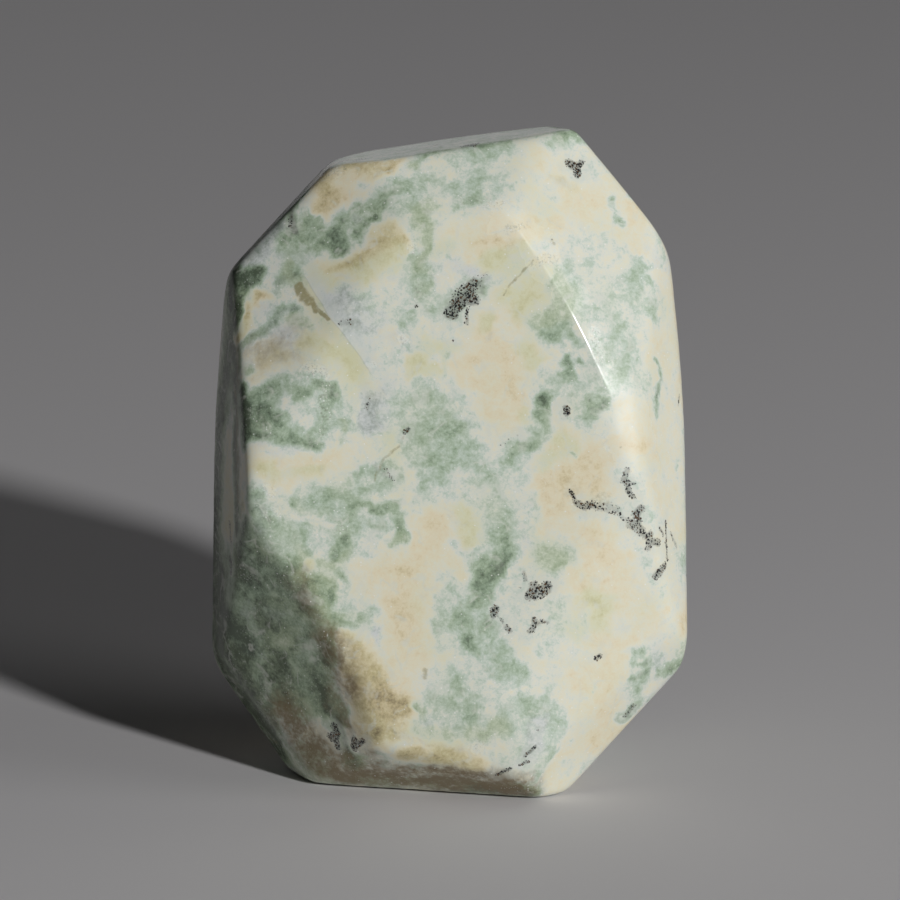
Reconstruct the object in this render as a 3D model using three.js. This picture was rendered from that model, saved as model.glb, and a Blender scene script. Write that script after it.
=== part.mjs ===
// A polished saussurite stone: one natural piece, cut and polished to irregular flat facets,
// which stands upright on a small facet at its foot.
// Millimetres, +Z up. The stone's front faces -Y. The origin is on the ground, under the
// middle of the stone.
import * as THREE from 'three';
import { ConvexGeometry } from 'three/addons/geometries/ConvexGeometry.js';

// Polishing rounds every edge and corner to this radius.
const EDGE_RADIUS = 1.0;
// Flats along the rounding of one edge.
const EDGE_STEPS = 3;

// Each facet is a plane. It is turned about the upright axis, from the front towards +X, and
// then raised from level. Its reach is its distance from the origin. Degrees and millimetres.
const FACETS = [
  // The front: a wide table with slopes around it.
  { name: 'front table', turn: 1, rise: 13.5, reach: 11.3 },
  { name: 'upper left slope', turn: -22, rise: 25, reach: 18.4 },
  { name: 'upper slope', turn: 1, rise: 38, reach: 24.0 },
  { name: 'upper right slope', turn: 23, rise: 27.5, reach: 20.1 },
  { name: 'right slope', turn: 21.5, rise: 21, reach: 17.1 },
  { name: 'lower right slope', turn: 15, rise: 4.5, reach: 10.8 },
  { name: 'lower slope', turn: -0.5, rise: -3, reach: 9.5 },
  { name: 'lower left slope', turn: -38.5, rise: -13, reach: 9.1 },
  { name: 'front undercut', turn: -13.5, rise: -45.5, reach: 4.7 },

  // The sides and rims, which the front view shows edge on.
  { name: 'left side', turn: -74.5, rise: 3.5, reach: 14.7 },
  { name: 'right side', turn: 57.5, rise: 10.5, reach: 16.6 },
  { name: 'lower right bevel', turn: 36, rise: -19.5, reach: 9.2 },
  { name: 'upper left rim', turn: -88.5, rise: 44, reach: 30.8 },
  { name: 'top rim', turn: -110, rise: 81.5, reach: 37.7 },
  { name: 'upper right rim', turn: 69.5, rise: 34.5, reach: 28.3 },
  { name: 'lower left rim', turn: -64, rise: -27.5, reach: 8.6 },

  // The flat that the stone stands on.
  { name: 'foot', turn: 0, rise: -90, reach: 0 },

  // The back: a second table with wider slopes.
  { name: 'back table', turn: 178, rise: 1, reach: 9.7 },
  { name: 'back upper left', turn: -131.5, rise: 27.5, reach: 23.5 },
  { name: 'back top left', turn: -165.5, rise: 47.5, reach: 31.4 },
  { name: 'back top', turn: -177, rise: 51, reach: 32.9 },
  { name: 'back upper right', turn: 117, rise: 33.5, reach: 27.7 },
  { name: 'back right shoulder', turn: 119, rise: 28.5, reach: 25.7 },
  { name: 'back left', turn: -112, rise: -3, reach: 12.9 },
  { name: 'back left shoulder', turn: -108, rise: 6, reach: 16.5 },
  { name: 'back right', turn: 105.5, rise: -4.5, reach: 11.6 },
  { name: 'back right flank', turn: 101, rise: 3.5, reach: 15.1 },
  { name: 'back undercut', turn: -178, rise: -40, reach: 3.5 },
  { name: 'back lower left', turn: -115.5, rise: -37, reach: 6.6 },
  { name: 'back lower right', turn: 102.5, rise: -44.5, reach: 3.8 },
];

// How far a corner may lie outside a plane and still count as on it.
const ON_PLANE = 1e-6;

// The outward direction of a facet.
function facetNormal({ turn, rise }) {
  const turned = THREE.MathUtils.degToRad(turn);
  const raised = THREE.MathUtils.degToRad(rise);
  const level = Math.cos(raised);
  return new THREE.Vector3(Math.sin(turned) * level, -Math.cos(turned) * level, Math.sin(raised));
}

// The point where three planes meet, or null where they share no single point.
function meetingPoint(a, b, c) {
  const bc = new THREE.Vector3().crossVectors(b.normal, c.normal);
  const ca = new THREE.Vector3().crossVectors(c.normal, a.normal);
  const ab = new THREE.Vector3().crossVectors(a.normal, b.normal);
  const volume = a.normal.dot(bc);
  if (Math.abs(volume) < ON_PLANE) return null;
  const point = new THREE.Vector3()
    .addScaledVector(bc, a.reach)
    .addScaledVector(ca, b.reach)
    .addScaledVector(ab, c.reach);
  return point.divideScalar(volume);
}

// The corners of the body that all the planes enclose, each with its three planes.
function enclosedCorners(planes) {
  const corners = [];
  for (let i = 0; i < planes.length; i++) {
    for (let j = i + 1; j < planes.length; j++) {
      for (let k = j + 1; k < planes.length; k++) {
        const point = meetingPoint(planes[i], planes[j], planes[k]);
        if (!point) continue;
        const inside = planes.every(({ normal, reach }) => normal.dot(point) < reach + ON_PLANE);
        if (inside) corners.push({ point, planes: [planes[i], planes[j], planes[k]] });
      }
    }
  }
  return corners;
}

// The piece of a small ball that rounds one corner: points spread between its three facets'
// directions, with the directions themselves among them, so that the facets stay flat.
function roundedCorner({ point, planes }, radius, steps) {
  const points = [];
  for (let i = 0; i <= steps; i++) {
    for (let j = 0; i + j <= steps; j++) {
      const direction = new THREE.Vector3()
        .addScaledVector(planes[0].normal, i)
        .addScaledVector(planes[1].normal, j)
        .addScaledVector(planes[2].normal, steps - i - j)
        .normalize();
      points.push(point.clone().addScaledVector(direction, radius));
    }
  }
  return points;
}

// The whole stone: planes pulled in by the edge radius give the ball centres at its corners,
// and the skin stretched over those balls has flat facets and round edges.
function stoneGeometry() {
  const innerPlanes = FACETS.map((facet) => ({
    normal: facetNormal(facet),
    reach: facet.reach - EDGE_RADIUS,
  }));
  const corners = enclosedCorners(innerPlanes);
  const skin = corners.flatMap((corner) => roundedCorner(corner, EDGE_RADIUS, EDGE_STEPS));
  const geometry = new ConvexGeometry(skin);

  // The origin goes on the ground, under the middle of the stone's box.
  geometry.computeBoundingBox();
  const { min, max } = geometry.boundingBox;
  geometry.translate(-(min.x + max.x) / 2, -(min.y + max.y) / 2, -min.z);
  return geometry;
}

// Pale grey-green stone with a waxy polish.
const saussurite = new THREE.MeshStandardMaterial({
  color: 0xb9bd9c,
  roughness: 0.32,
  metalness: 0,
  flatShading: true,
});

const stone = new THREE.Mesh(stoneGeometry(), saussurite);
stone.name = 'stone';

const object = new THREE.Group();
object.add(stone);

export default object;
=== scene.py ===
import math
import random

import bmesh
import bpy
import numpy as np
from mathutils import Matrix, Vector, noise
from mathutils.bvhtree import BVHTree


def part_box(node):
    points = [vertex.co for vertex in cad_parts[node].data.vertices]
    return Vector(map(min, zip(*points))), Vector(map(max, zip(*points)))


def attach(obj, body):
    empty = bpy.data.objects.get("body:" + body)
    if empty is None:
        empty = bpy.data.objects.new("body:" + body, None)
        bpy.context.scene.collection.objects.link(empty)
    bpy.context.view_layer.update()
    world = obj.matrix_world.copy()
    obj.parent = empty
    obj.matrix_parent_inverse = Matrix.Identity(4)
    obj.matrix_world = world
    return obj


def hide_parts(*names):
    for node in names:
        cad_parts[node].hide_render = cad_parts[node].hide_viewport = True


# A polished saussurite stone: one natural piece with irregular flat facets, mottled green,
# cream and white, with small black clusters. It stands on a small facet at its foot.

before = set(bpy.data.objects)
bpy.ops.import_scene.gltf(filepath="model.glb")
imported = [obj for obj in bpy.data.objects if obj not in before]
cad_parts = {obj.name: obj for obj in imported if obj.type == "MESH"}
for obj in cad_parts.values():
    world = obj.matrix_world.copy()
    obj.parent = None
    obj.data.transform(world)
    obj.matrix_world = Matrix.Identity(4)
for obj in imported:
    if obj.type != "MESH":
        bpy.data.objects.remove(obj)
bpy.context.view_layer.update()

MM = 0.001
MARKS_SEED = 7
NOISE_SEED = 7

# The camera looks at the front from a little above, through a long lens. Millimetres.
CAMERA_RISE = math.radians(13)
CAMERA_AWAY = 480
PICTURE_WIDTH = 53.7
PICTURE_MIDDLE = np.array((0.11, -6.63, 21.2))
ACROSS = np.array((1, 0, 0))
UPWARDS = np.array((0, math.sin(CAMERA_RISE), math.cos(CAMERA_RISE)))
TOWARDS = np.array((0, -math.cos(CAMERA_RISE), math.sin(CAMERA_RISE)))
CAMERA_PLACE = PICTURE_MIDDLE + CAMERA_AWAY * TOWARDS
# The front is where the stone faces the camera by more than this, with 1 for full face.
FACES_CAMERA = 0.3

# The mesh has cells of about this size. They are halved on the front, and again at its spots.
CELL = 0.38
# A facet is at least this wide. The flats along a rounded edge are narrower.
NARROWEST_FACET = 0.6
# Corners this near to each other are one corner, and faces that turn by fewer degrees than
# this are one facet.
SAME_PLACE = 0.001
SAME_PLANE = 0.5
# How tightly the polished edges turn, per millimetre.
SOFT_EDGE = 5.5
CRISP_EDGE = 90.0
# One edge is crisp: the one between the front table and the two slopes at its right. Each
# facet is given by its turn to the right and its rise, in degrees.
FRONT_TABLE = (1, 13.5)
RIGHT_SLOPES = ((23, 27.5), (21.5, 21))
# It turns crisp between these heights, and soft again between the higher ones.
CRISP_STARTS = (23.0, 26.5)
CRISP_ENDS = (34.0, 37.0)
# The crisp edge lies this far further to the left than the flats would meet.
RIGHT_SLOPE_TRIM = 0.22
# The rims at the upper left and the top are a little fuller.
UPPER_RIMS = ((-88.5, 44), (-110, 81.5))
RIM_GROWTH = 0.15
# A vertex reaches the surface within this many steps.
GRINDING_STEPS = 12
# The depth of a facet that is left out, and the least that a ray closes in on a facet.
FAR_INSIDE = -1e3
LEAST_CLOSING = 1e-6
# Cells beside the crisp edge lie this near to both its sides, with nearly equal depths.
NEAR_SURFACE = 0.3
NEAR_CRISP_EDGE = 0.12
# Spots and stains narrower than this get finer cells, also in a margin around them.
WIDEST_FINE_MARK = 0.35
FINE_MARGIN = 0.1
FINE_SOFTNESS = 0.3
# Gentle waves that the polishing leaves on the facets: height, lump size, offset.
POLISH_WAVES = ((0.03, 7.0, 40.0), (0.005, 1.5, 50.0))

# Random moves that make the outlines of marks wavy: lump size, strength, offset.
WAVY_OUTLINES = ((1.5, 0.5, 3.0), (0.6, 0.25, 9.0), (0.25, 0.1, 13.0))
FINE_OUTLINE = (0.4, 0.09, 5.0)
CRACK_OUTLINE = (0.8, 0.05, 15.0)
# How soft the edges of marks are, as shares of their half widths.
PATCH_SOFTNESS = 0.85
WASH_SOFTNESS = 0.9
SPOT_SOFTNESS = 0.5
# The pale halo reaches this far beyond its black cluster.
HALO_WIDTH = 0.45
# The crack fades out between these distances from it, and in between these from its ends.
CRACK_FADES_ASIDE = (0.3, 1.4)
CRACK_FADES_AT_ENDS = (0.1, 1.2)
# A facet is painted pale green between these shares of facing straight up: painted light on the
# tops.
PAINTED_TOP_LIGHT_FACES_UP = (0.93, 0.98)

# Sizes and numbers of the patches on the sides and back, and the stuffs that they show.
UNSEEN_SIZES = ((2.6, 70), (1.5, 130), (0.8, 200), (0.4, 260))
OFTEN_SHARE = 0.8
OFTEN = ("cream", "peach", "cream", "pale green", "mint", "green", "lime cream", "lime green")
SELDOM = ("dark green", "olive", "grey white", "grey", "ochre", "white", "pale cream")
# Spots on the sides and back: layer, number, size.
UNSEEN_SPOTS = (("spots", 26, 0.25), ("stains", 20, 0.14), ("grainy", 30, 0.35))

# Stone stuffs: tone, lime tint and grey. The tone runs from -2 (brown) over -0.6 (cream) and
# 0 (white) to 1.4 (black green). The lime tint and the grey run from 0 to 1.
STUFFS = {
    "tan": (-1.75, 0.35, 0.0),
    "ochre": (-1.45, 0.35, 0.0),
    "peach": (-0.95, 0.0, 0.0),
    "cream": (-0.65, 0.15, 0.0),
    "pale cream": (-0.3, 0.2, 0.0),
    "lime cream": (-0.75, 0.9, 0.0),
    "pale lime": (-0.35, 0.9, 0.0),
    "brown grey": (-0.8, 0.5, 0.5),
    "white": (0.0, 0.1, 0.0),
    "grey white": (0.0, 0.1, 0.45),
    "grey": (0.2, 0.1, 0.8),
    "smoky grey": (0.5, 0.2, 1.0),
    "lime green": (0.3, 0.95, 0.0),
    "pale green": (0.26, 0.3, 0.0),
    "olive": (0.45, 1.0, 0.1),
    "mint": (0.55, 0.2, 0.0),
    "green": (0.8, 0.4, 0.0),
    "grey green": (0.75, 0.3, 0.5),
    # Dark olive is partly the stone's own colour and partly painted shade on the shaded slope. The
    # darkest olive after it is painted shade, on the unlit sides and the underside.
    "dark olive": (1.28, 0.9, 0.22),
    "painted shade olive": (1.35, 0.9, 0.2),
    "dark green": (1.05, 0.3, 0.0),
    "black green": (1.45, 0.2, 0.1),
}

# Colours along the tone, for the peach, the lime and the grey kinds of the stone.
PEACH_RUN = [
    (-2.1, (0.30, 0.235, 0.135)),
    (-1.55, (0.66, 0.56, 0.34)),
    (-1.2, (0.79, 0.695, 0.465)),
    (-0.95, (0.86, 0.775, 0.565)),
    (-0.6, (0.865, 0.815, 0.63)),
    (-0.25, (0.85, 0.84, 0.705)),
    (0.0, (0.80, 0.825, 0.745)),
    (0.25, (0.64, 0.73, 0.64)),
    (0.62, (0.46, 0.575, 0.43)),
    (0.95, (0.30, 0.39, 0.28)),
    (1.4, (0.11, 0.145, 0.10)),
]
LIME_RUN = [
    (-2.1, (0.28, 0.24, 0.13)),
    (-1.55, (0.57, 0.53, 0.28)),
    (-1.2, (0.66, 0.64, 0.37)),
    (-0.95, (0.73, 0.715, 0.46)),
    (-0.6, (0.79, 0.785, 0.56)),
    (-0.28, (0.78, 0.795, 0.62)),
    (0.0, (0.72, 0.77, 0.63)),
    (0.3, (0.56, 0.64, 0.47)),
    (0.62, (0.42, 0.51, 0.34)),
    (0.95, (0.28, 0.355, 0.235)),
    (1.4, (0.11, 0.145, 0.09)),
]
GREY_RUN = [
    (-1.0, (0.60, 0.57, 0.45)),
    (0.0, (0.75, 0.78, 0.77)),
    (0.8, (0.32, 0.37, 0.33)),
    (1.4, (0.12, 0.15, 0.13)),
]

# Colours of what lies in and on the mottled stone.
COLOURS = {
    "filament": (0.77, 0.79, 0.71, 1),
    # Brown in the stone, also used as painted shade at the foot.
    "brown stone and painted shade": (0.23, 0.174, 0.09, 1),
    "smoky stone": (0.70, 0.74, 0.71, 1),
    "lime stone": (0.68, 0.67, 0.42, 1),
    "crack line": (0.36, 0.34, 0.20, 1),
    "olive stain": (0.30, 0.26, 0.11, 1),
    "halo": (0.73, 0.765, 0.69, 1),
    "smoke": (0.14, 0.155, 0.14, 1),
    "black grain": (0.022, 0.022, 0.023, 1),
    "rusty grain": (0.12, 0.07, 0.035, 1),
    "sugar": (0.80, 0.84, 0.78, 1),
    # Painted highlight: white glints on grains.
    "painted_glint": (0.95, 0.96, 0.93, 1),
    "pit": (0.20, 0.21, 0.14, 1),
}
FLOOR_COLOUR = (0.67, 0.655, 0.665, 1)
ROOM_COLOUR = (0.80, 0.80, 0.82, 1)

# Soft noise in the stone: lump size, detail, roughness, distortion, shift.
CLOUDS = {
    "wide mottle": (1.7, 6, 0.6, 0.5, 0),
    "mottle": (0.5, 5, 0.65, 0.4, 5),
    "fine mottle": (0.16, 3, 0.7, 0, 7),
    "lime drift": (2.6, 3, 0.5, 0, 9),
    "grey drift": (0.8, 5, 0.6, 0.2, 13),
    "filaments": (2.2, 3, 0.5, 0.8, 81),
    "filament gaps": (1.1, 3, 0.6, 0, 83),
    "brown mottle": (1.1, 5, 0.6, 0.3, 19),
    "fine brown mottle": (0.3, 4, 0.65, 0.2, 27),
    "stain edge": (0.35, 4, 0.65, 0, 17),
    "halo edge": (0.6, 4, 0.6, 0, 23),
    "smoke edge": (0.3, 4, 0.7, 0, 29),
    "grain edge": (0.09, 2, 0.6, 0, 33),
    "sugar drift": (1.4, 3, 0.6, 0, 47),
    "pits": (0.15, 3, 0.7, 0, 51),
    "polish": (0.6, 4, 0.6, 0, 61),
    "rough grains": (0.14, 3, 0.7, 0, 71),
    "faint bumps": (0.3, 4, 0.6, 0, 0),
}
# Grains in the stone: size, shift.
GRAINS = {
    "large black": (0.17, 3),
    "small black": (0.1, 35),
    "sugar": (0.13, 43),
    # Painted highlight: grains that show white glints.
    "painted_glint": (0.2, 41),
}

# Patches on the front, in the order they are laid. Each is a stuff, a half width, and a path
# of places, in millimetres across and up from the middle of the picture.
FRONT_PATCHES = [
    # The left side and the upper left rim, seen edge on. The left side is painted a very dark olive
    # as painted shade.
    ("painted shade olive", 1.6, (-13.6, 9.0), (-13.8, 2.0), (-14.0, -4.0), (-14.0, -9.0)),
    ("painted shade olive", 0.6, (-12.8, 6.0), (-12.8, 0.0), (-12.7, -4.5)),
    ("grey white", 0.7, (-12.9, 11.6), (-10.4, 14.2), (-7.8, 16.8)),
    # Upper left slope.
    ("pale cream", 1.4, (-7.5, 15.5), (-9.5, 12.0)),
    ("grey", 1.1, (-12.2, 11.0), (-11.0, 12.2), (-9.9, 13.3)),
    ("smoky grey", 0.8, (-11.8, 11.5), (-10.6, 12.8)),
    ("grey white", 0.9, (-10.6, 10.9), (-9.6, 12.2), (-9.2, 11.2)),
    ("mint", 0.8, (-9.4, 12.6), (-8.8, 11.2), (-9.4, 10.2)),
    ("pale green", 0.9, (-8.6, 13.6), (-7.4, 12.8), (-6.0, 13.4), (-5.2, 14.2)),
    ("mint", 0.5, (-8.2, 13.4), (-7.6, 12.6), (-6.6, 12.9), (-6.2, 13.8)),
    ("cream", 1.0, (-7.4, 16.2), (-6.9, 14.9), (-5.6, 16.2)),
    ("ochre", 0.65, (-7.4, 16.2), (-6.9, 15.4), (-7.3, 14.4)),
    ("ochre", 0.42, (-6.0, 16.7), (-4.8, 17.0), (-3.6, 16.9)),
    ("ochre", 0.3, (-3.4, 17.3), (-3.2, 16.8), (-4.6, 16.4)),
    ("white", 0.45, (-5.2, 15.9), (-4.0, 15.6), (-3.0, 15.9)),
    ("green", 0.3, (-6.6, 17.1), (-6.2, 17.2)),
    ("green", 0.45, (-9.1, 13.0), (-8.5, 13.6), (-7.9, 13.4)),
    ("mint", 0.4, (-8.4, 12.4), (-8.1, 13.0)),
    ("green", 0.4, (-8.1, 11.9), (-7.2, 12.3), (-6.5, 11.9)),
    ("pale green", 0.5, (-8.6, 11.4), (-7.6, 11.2)),
    ("black green", 0.55, (-10.0, 14.0), (-9.4, 14.6), (-8.9, 15.2)),
    ("black green", 0.26, (-9.8, 14.2), (-9.5, 13.9), (-9.5, 13.2)),
    ("black green", 0.4, (-12.6, 11.5), (-12.9, 10.5)),
    ("black green", 0.55, (-12.0, 10.2), (-12.6, 10.1), (-13.1, 9.6), (-13.1, 8.8)),
    ("black green", 0.3, (-13.2, 10.6), (-12.5, 11.4)),
    ("grey green", 0.3, (-9.0, 10.7), (-9.8, 10.2), (-10.4, 9.9), (-10.6, 9.0)),
    ("white", 0.4, (-9.6, 9.6), (-9.3, 8.7), (-10.0, 8.5)),
    ("ochre", 0.45, (-11.2, 9.2), (-11.6, 8.6), (-12.1, 7.8), (-12.7, 6.8)),
    ("grey green", 0.35, (-10.3, 7.9), (-11.0, 7.2), (-11.7, 6.6), (-12.5, 6.1)),
    ("grey white", 0.4, (-11.0, 8.2), (-11.9, 7.2)),
    ("grey white", 1.0, (-10.6, 7.6), (-9.8, 6.8), (-10.8, 5.8), (-11.6, 5.6)),
    ("olive", 0.5, (-9.3, 7.9), (-8.7, 7.2)),
    ("brown grey", 0.8, (-11.4, 5.6), (-10.0, 5.8), (-9.4, 5.2)),
    ("grey green", 0.4, (-12.2, 6.5), (-11.2, 7.2), (-10.2, 8.0), (-9.2, 8.4)),
    ("grey", 0.5, (-10.2, 7.0), (-9.2, 6.6)),
    ("olive", 0.5, (-12.2, 4.8), (-11.4, 4.4)),
    ("brown grey", 0.45, (-10.8, 5.0), (-11.4, 4.4), (-12.0, 3.9)),
    # Upper slope.
    ("pale green", 0.9, (-1.5, 16.9), (1.0, 16.8), (3.2, 16.6)),
    ("pale green", 0.9, (-5.4, 13.6), (-4.0, 14.6), (-2.6, 15.2), (-0.4, 15.6)),
    ("white", 0.5, (-2.6, 16.4), (-1.4, 16.3)),
    ("pale green", 0.7, (1.2, 17.4), (1.2, 16.0), (1.1, 14.6)),
    ("pale green", 0.5, (0.4, 17.5), (2.0, 17.6), (3.6, 17.7)),
    ("dark green", 0.5, (-6.7, 13.6), (-6.5, 12.5)),
    ("green", 0.5, (-5.8, 14.1), (-4.9, 14.4), (-4.0, 14.8), (-3.2, 15.1)),
    ("mint", 0.5, (-3.2, 15.1), (-2.2, 15.8), (-1.0, 15.8), (0.2, 15.6)),
    ("pale green", 0.45, (-2.6, 14.9), (-1.4, 15.1)),
    ("grey green", 0.3, (-5.7, 13.8), (-5.1, 13.7)),
    ("dark green", 0.35, (-4.4, 13.8), (-4.8, 13.3), (-5.4, 12.9)),
    ("pale green", 0.35, (-3.6, 14.3), (-2.6, 14.6)),
    ("olive", 0.3, (-2.4, 16.9), (-1.9, 16.8)),
    ("green", 0.25, (-1.2, 17.5), (-0.8, 17.5)),
    ("pale cream", 0.45, (-1.0, 17.0), (-0.3, 16.4)),
    ("white", 0.35, (-1.0, 14.6), (-0.4, 15.0)),
    ("pale green", 0.35, (0.1, 17.6), (1.0, 17.3), (1.7, 17.5)),
    ("mint", 0.3, (1.6, 17.9), (2.4, 17.7), (3.2, 17.5), (3.9, 17.6)),
    ("mint", 0.16, (4.0, 17.5), (4.5, 17.0), (4.7, 16.2)),
    ("pale green", 0.4, (0.6, 16.4), (1.3, 16.6), (2.0, 16.3)),
    ("mint", 0.4, (1.6, 16.1), (1.4, 15.4), (1.2, 14.7)),
    ("green", 0.35, (0.3, 14.5), (1.4, 14.4)),
    ("white", 0.5, (2.8, 16.9), (3.6, 16.5), (3.0, 15.6)),
    ("mint", 0.16, (3.6, 15.9), (3.8, 15.7)),
    ("pale green", 0.4, (2.2, 14.7), (3.2, 14.6)),
    # Upper right slope.
    ("cream", 1.3, (5.5, 17.2), (8.6, 14.8), (11.0, 13.0)),
    ("pale cream", 0.9, (8.5, 17.4), (10.2, 15.6)),
    ("white", 0.6, (5.2, 16.5), (6.2, 17.8), (7.6, 17.8)),
    ("white", 0.8, (7.0, 16.4), (8.3, 16.6)),
    ("cream", 0.5, (5.6, 17.6), (5.2, 16.9)),
    ("pale green", 0.3, (5.4, 18.6), (6.4, 18.5)),
    ("brown grey", 0.35, (6.2, 16.2), (7.0, 15.8), (7.8, 15.5)),
    ("peach", 0.35, (6.9, 14.4), (7.6, 14.2), (8.2, 13.9)),
    ("cream", 0.6, (8.2, 14.9), (8.9, 14.5)),
    ("pale green", 0.3, (5.2, 14.6), (5.6, 14.1)),
    ("mint", 0.3, (9.9, 14.9), (9.6, 14.3), (9.9, 13.9), (10.3, 13.7)),
    ("pale green", 0.25, (10.4, 12.6), (10.6, 12.1), (10.9, 11.6)),
    ("pale cream", 1.1, (6.9, 13.3), (8.2, 12.9), (9.4, 12.6)),
    ("white", 0.5, (8.6, 12.6), (9.8, 12.2)),
    ("pale green", 0.5, (12.4, 12.2), (12.8, 11.6)),
    ("mint", 0.28, (11.2, 11.3), (12.4, 11.1)),
    ("white", 1.2, (7.6, 12.0), (9.0, 10.6), (9.6, 9.8)),
    ("pale green", 0.25, (7.3, 11.1), (8.0, 11.3), (8.1, 10.8)),
    ("mint", 0.45, (10.4, 10.5), (11.2, 10.6), (12.0, 10.2)),
    ("mint", 0.4, (10.9, 10.0), (10.7, 9.3), (11.3, 8.8), (12.2, 8.6)),
    ("white", 0.3, (10.1, 9.3), (10.1, 8.6)),
    ("pale cream", 0.4, (12.2, 10.6), (12.8, 9.9), (13.2, 9.0)),
    ("mint", 0.3, (8.9, 8.7), (9.6, 8.8)),
    # Right slope.
    ("pale green", 1.5, (8.6, 9.2), (9.6, 6.8), (10.4, 4.8)),
    ("pale green", 0.8, (8.8, 7.8), (9.6, 6.4), (10.4, 5.6)),
    ("white", 0.3, (8.9, 7.6), (9.2, 6.9)),
    ("white", 0.3, (9.6, 5.6), (10.2, 5.9)),
    ("white", 0.35, (8.2, 8.2), (8.9, 7.4)),
    ("pale green", 0.4, (11.3, 8.6), (12.2, 7.9), (12.7, 7.1)),
    ("white", 0.9, (7.8, 10.2), (8.4, 9.3)),
    ("mint", 0.25, (10.8, 7.2), (11.3, 6.7)),
    ("mint", 0.5, (10.4, 5.2), (9.8, 4.5)),
    ("white", 0.35, (11.2, 5.3), (10.8, 4.3)),
    ("grey", 0.16, (11.2, 4.6), (11.0, 4.0)),
    ("pale cream", 0.35, (11.2, 7.1), (11.6, 6.2), (12.2, 6.9)),
    ("pale cream", 0.9, (10.3, 2.9), (11.4, 2.3), (10.4, 1.5)),
    # Top of the front table.
    ("pale cream", 0.8, (-1.0, 13.0), (0.0, 13.6), (2.4, 13.9), (5.0, 13.8)),
    ("ochre", 0.85, (-6.8, 10.7), (-5.4, 11.3), (-4.0, 12.1), (-3.1, 12.9)),
    ("lime cream", 0.6, (-5.9, 10.2), (-4.4, 11.0), (-3.2, 11.7)),
    ("pale lime", 0.45, (-3.6, 10.4), (-2.9, 11.0)),
    ("pale cream", 0.4, (-2.6, 13.6), (-2.5, 12.9)),
    ("pale green", 0.8, (-1.6, 15.4), (-1.6, 13.0), (-1.7, 10.8), (-2.1, 9.0)),
    ("lime green", 0.6, (-1.5, 14.2), (-1.6, 12.4), (-1.8, 10.2)),
    ("olive", 0.34, (-1.4, 13.9), (-1.5, 12.8), (-1.4, 11.4), (-1.7, 10.4)),
    ("mint", 0.3, (-1.8, 10.2), (-2.0, 9.4), (-2.0, 8.6)),
    ("white", 0.3, (-2.1, 11.8), (-2.0, 12.0)),
    ("pale lime", 0.4, (-0.7, 11.2), (-0.4, 12.1)),
    ("grey white", 0.8, (-0.6, 10.6), (0.5, 11.2), (1.4, 11.0)),
    ("grey", 0.4, (0.4, 10.9), (1.4, 10.8), (2.0, 10.2)),
    ("grey green", 0.7, (-0.1, 8.4), (0.7, 9.0), (1.5, 9.6)),
    ("pale green", 0.8, (-2.4, 8.8), (-0.9, 8.2)),
    ("cream", 0.45, (0.3, 13.1), (1.1, 13.2)),
    ("cream", 1.0, (1.5, 12.3), (2.6, 12.6), (3.8, 12.6), (5.0, 12.7)),
    ("peach", 0.5, (2.2, 12.4), (3.8, 12.3), (5.0, 12.7)),
    ("cream", 0.6, (2.4, 13.5), (3.6, 13.2), (6.5, 13.3)),
    ("lime cream", 0.7, (2.4, 11.2), (3.6, 11.4), (4.6, 11.9)),
    ("pale lime", 0.45, (3.4, 10.6), (4.3, 11.2)),
    ("white", 0.5, (5.2, 12.1), (6.4, 12.2)),
    ("pale lime", 0.8, (5.0, 10.3), (5.9, 10.2), (6.2, 9.6)),
    ("lime cream", 0.7, (3.8, 9.2), (4.8, 9.0), (4.4, 8.2)),
    ("lime green", 0.9, (6.6, 9.4), (6.4, 8.4), (5.6, 7.6)),
    ("pale green", 0.5, (-2.5, 10.3), (-2.8, 9.4)),
    ("white", 0.6, (-4.4, 9.6), (-3.4, 9.8), (-2.8, 8.9)),
    # Broken edge of an old crack: smoky stone on its right, lime and brown on its left.
    ("grey white", 1.3, (-6.6, 8.9), (-5.4, 7.4), (-4.4, 6.6), (-3.4, 6.3)),
    ("grey white", 1.3, (-5.8, 8.2), (-4.6, 7.0), (-4.2, 5.4), (-3.6, 4.4)),
    ("grey", 0.6, (-7.1, 9.2), (-6.1, 8.3), (-5.4, 7.4)),
    ("pale lime", 0.5, (-8.2, 10.4), (-7.2, 10.1)),
    ("pale green", 0.35, (-3.4, 8.2), (-2.7, 7.6), (-2.0, 7.4)),
    ("white", 0.8, (-3.7, 5.4), (-3.4, 4.4), (-2.8, 3.8)),
    ("grey white", 0.7, (-4.6, 4.4), (-3.4, 3.3)),
    ("lime cream", 0.75, (-7.3, 6.7), (-6.7, 5.8), (-5.8, 4.6), (-5.5, 3.8)),
    ("lime cream", 0.7, (-8.4, 6.4), (-7.8, 5.4), (-6.4, 4.2)),
    ("pale lime", 0.6, (-5.9, 3.2), (-6.2, 2.4)),
    ("pale cream", 0.5, (-7.6, 7.4), (-6.8, 6.9)),
    # Left of the front table.
    ("pale green", 1.3, (-10.4, 3.4), (-8.2, 4.2), (-7.0, 2.0), (-8.6, 1.4)),
    ("mint", 0.9, (-11.4, 3.0), (-10.4, 2.4), (-10.8, 1.0), (-9.4, 0.9)),
    ("black green", 0.5, (-12.3, 3.3), (-12.1, 2.4), (-12.0, 1.2), (-12.3, 0.4)),
    ("green", 0.38, (-11.4, 3.5), (-10.4, 3.5), (-9.6, 3.7), (-8.4, 3.4)),
    ("green", 0.35, (-8.4, 3.5), (-7.6, 3.8), (-7.1, 3.9), (-7.0, 3.2)),
    ("dark green", 0.5, (-11.6, 2.5), (-10.9, 1.8), (-10.2, 1.6)),
    ("dark green", 0.4, (-11.4, 0.8), (-10.2, 0.6), (-9.6, 0.9)),
    ("green", 0.35, (-9.4, 0.4), (-8.6, 0.6), (-8.2, 0.2)),
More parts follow.
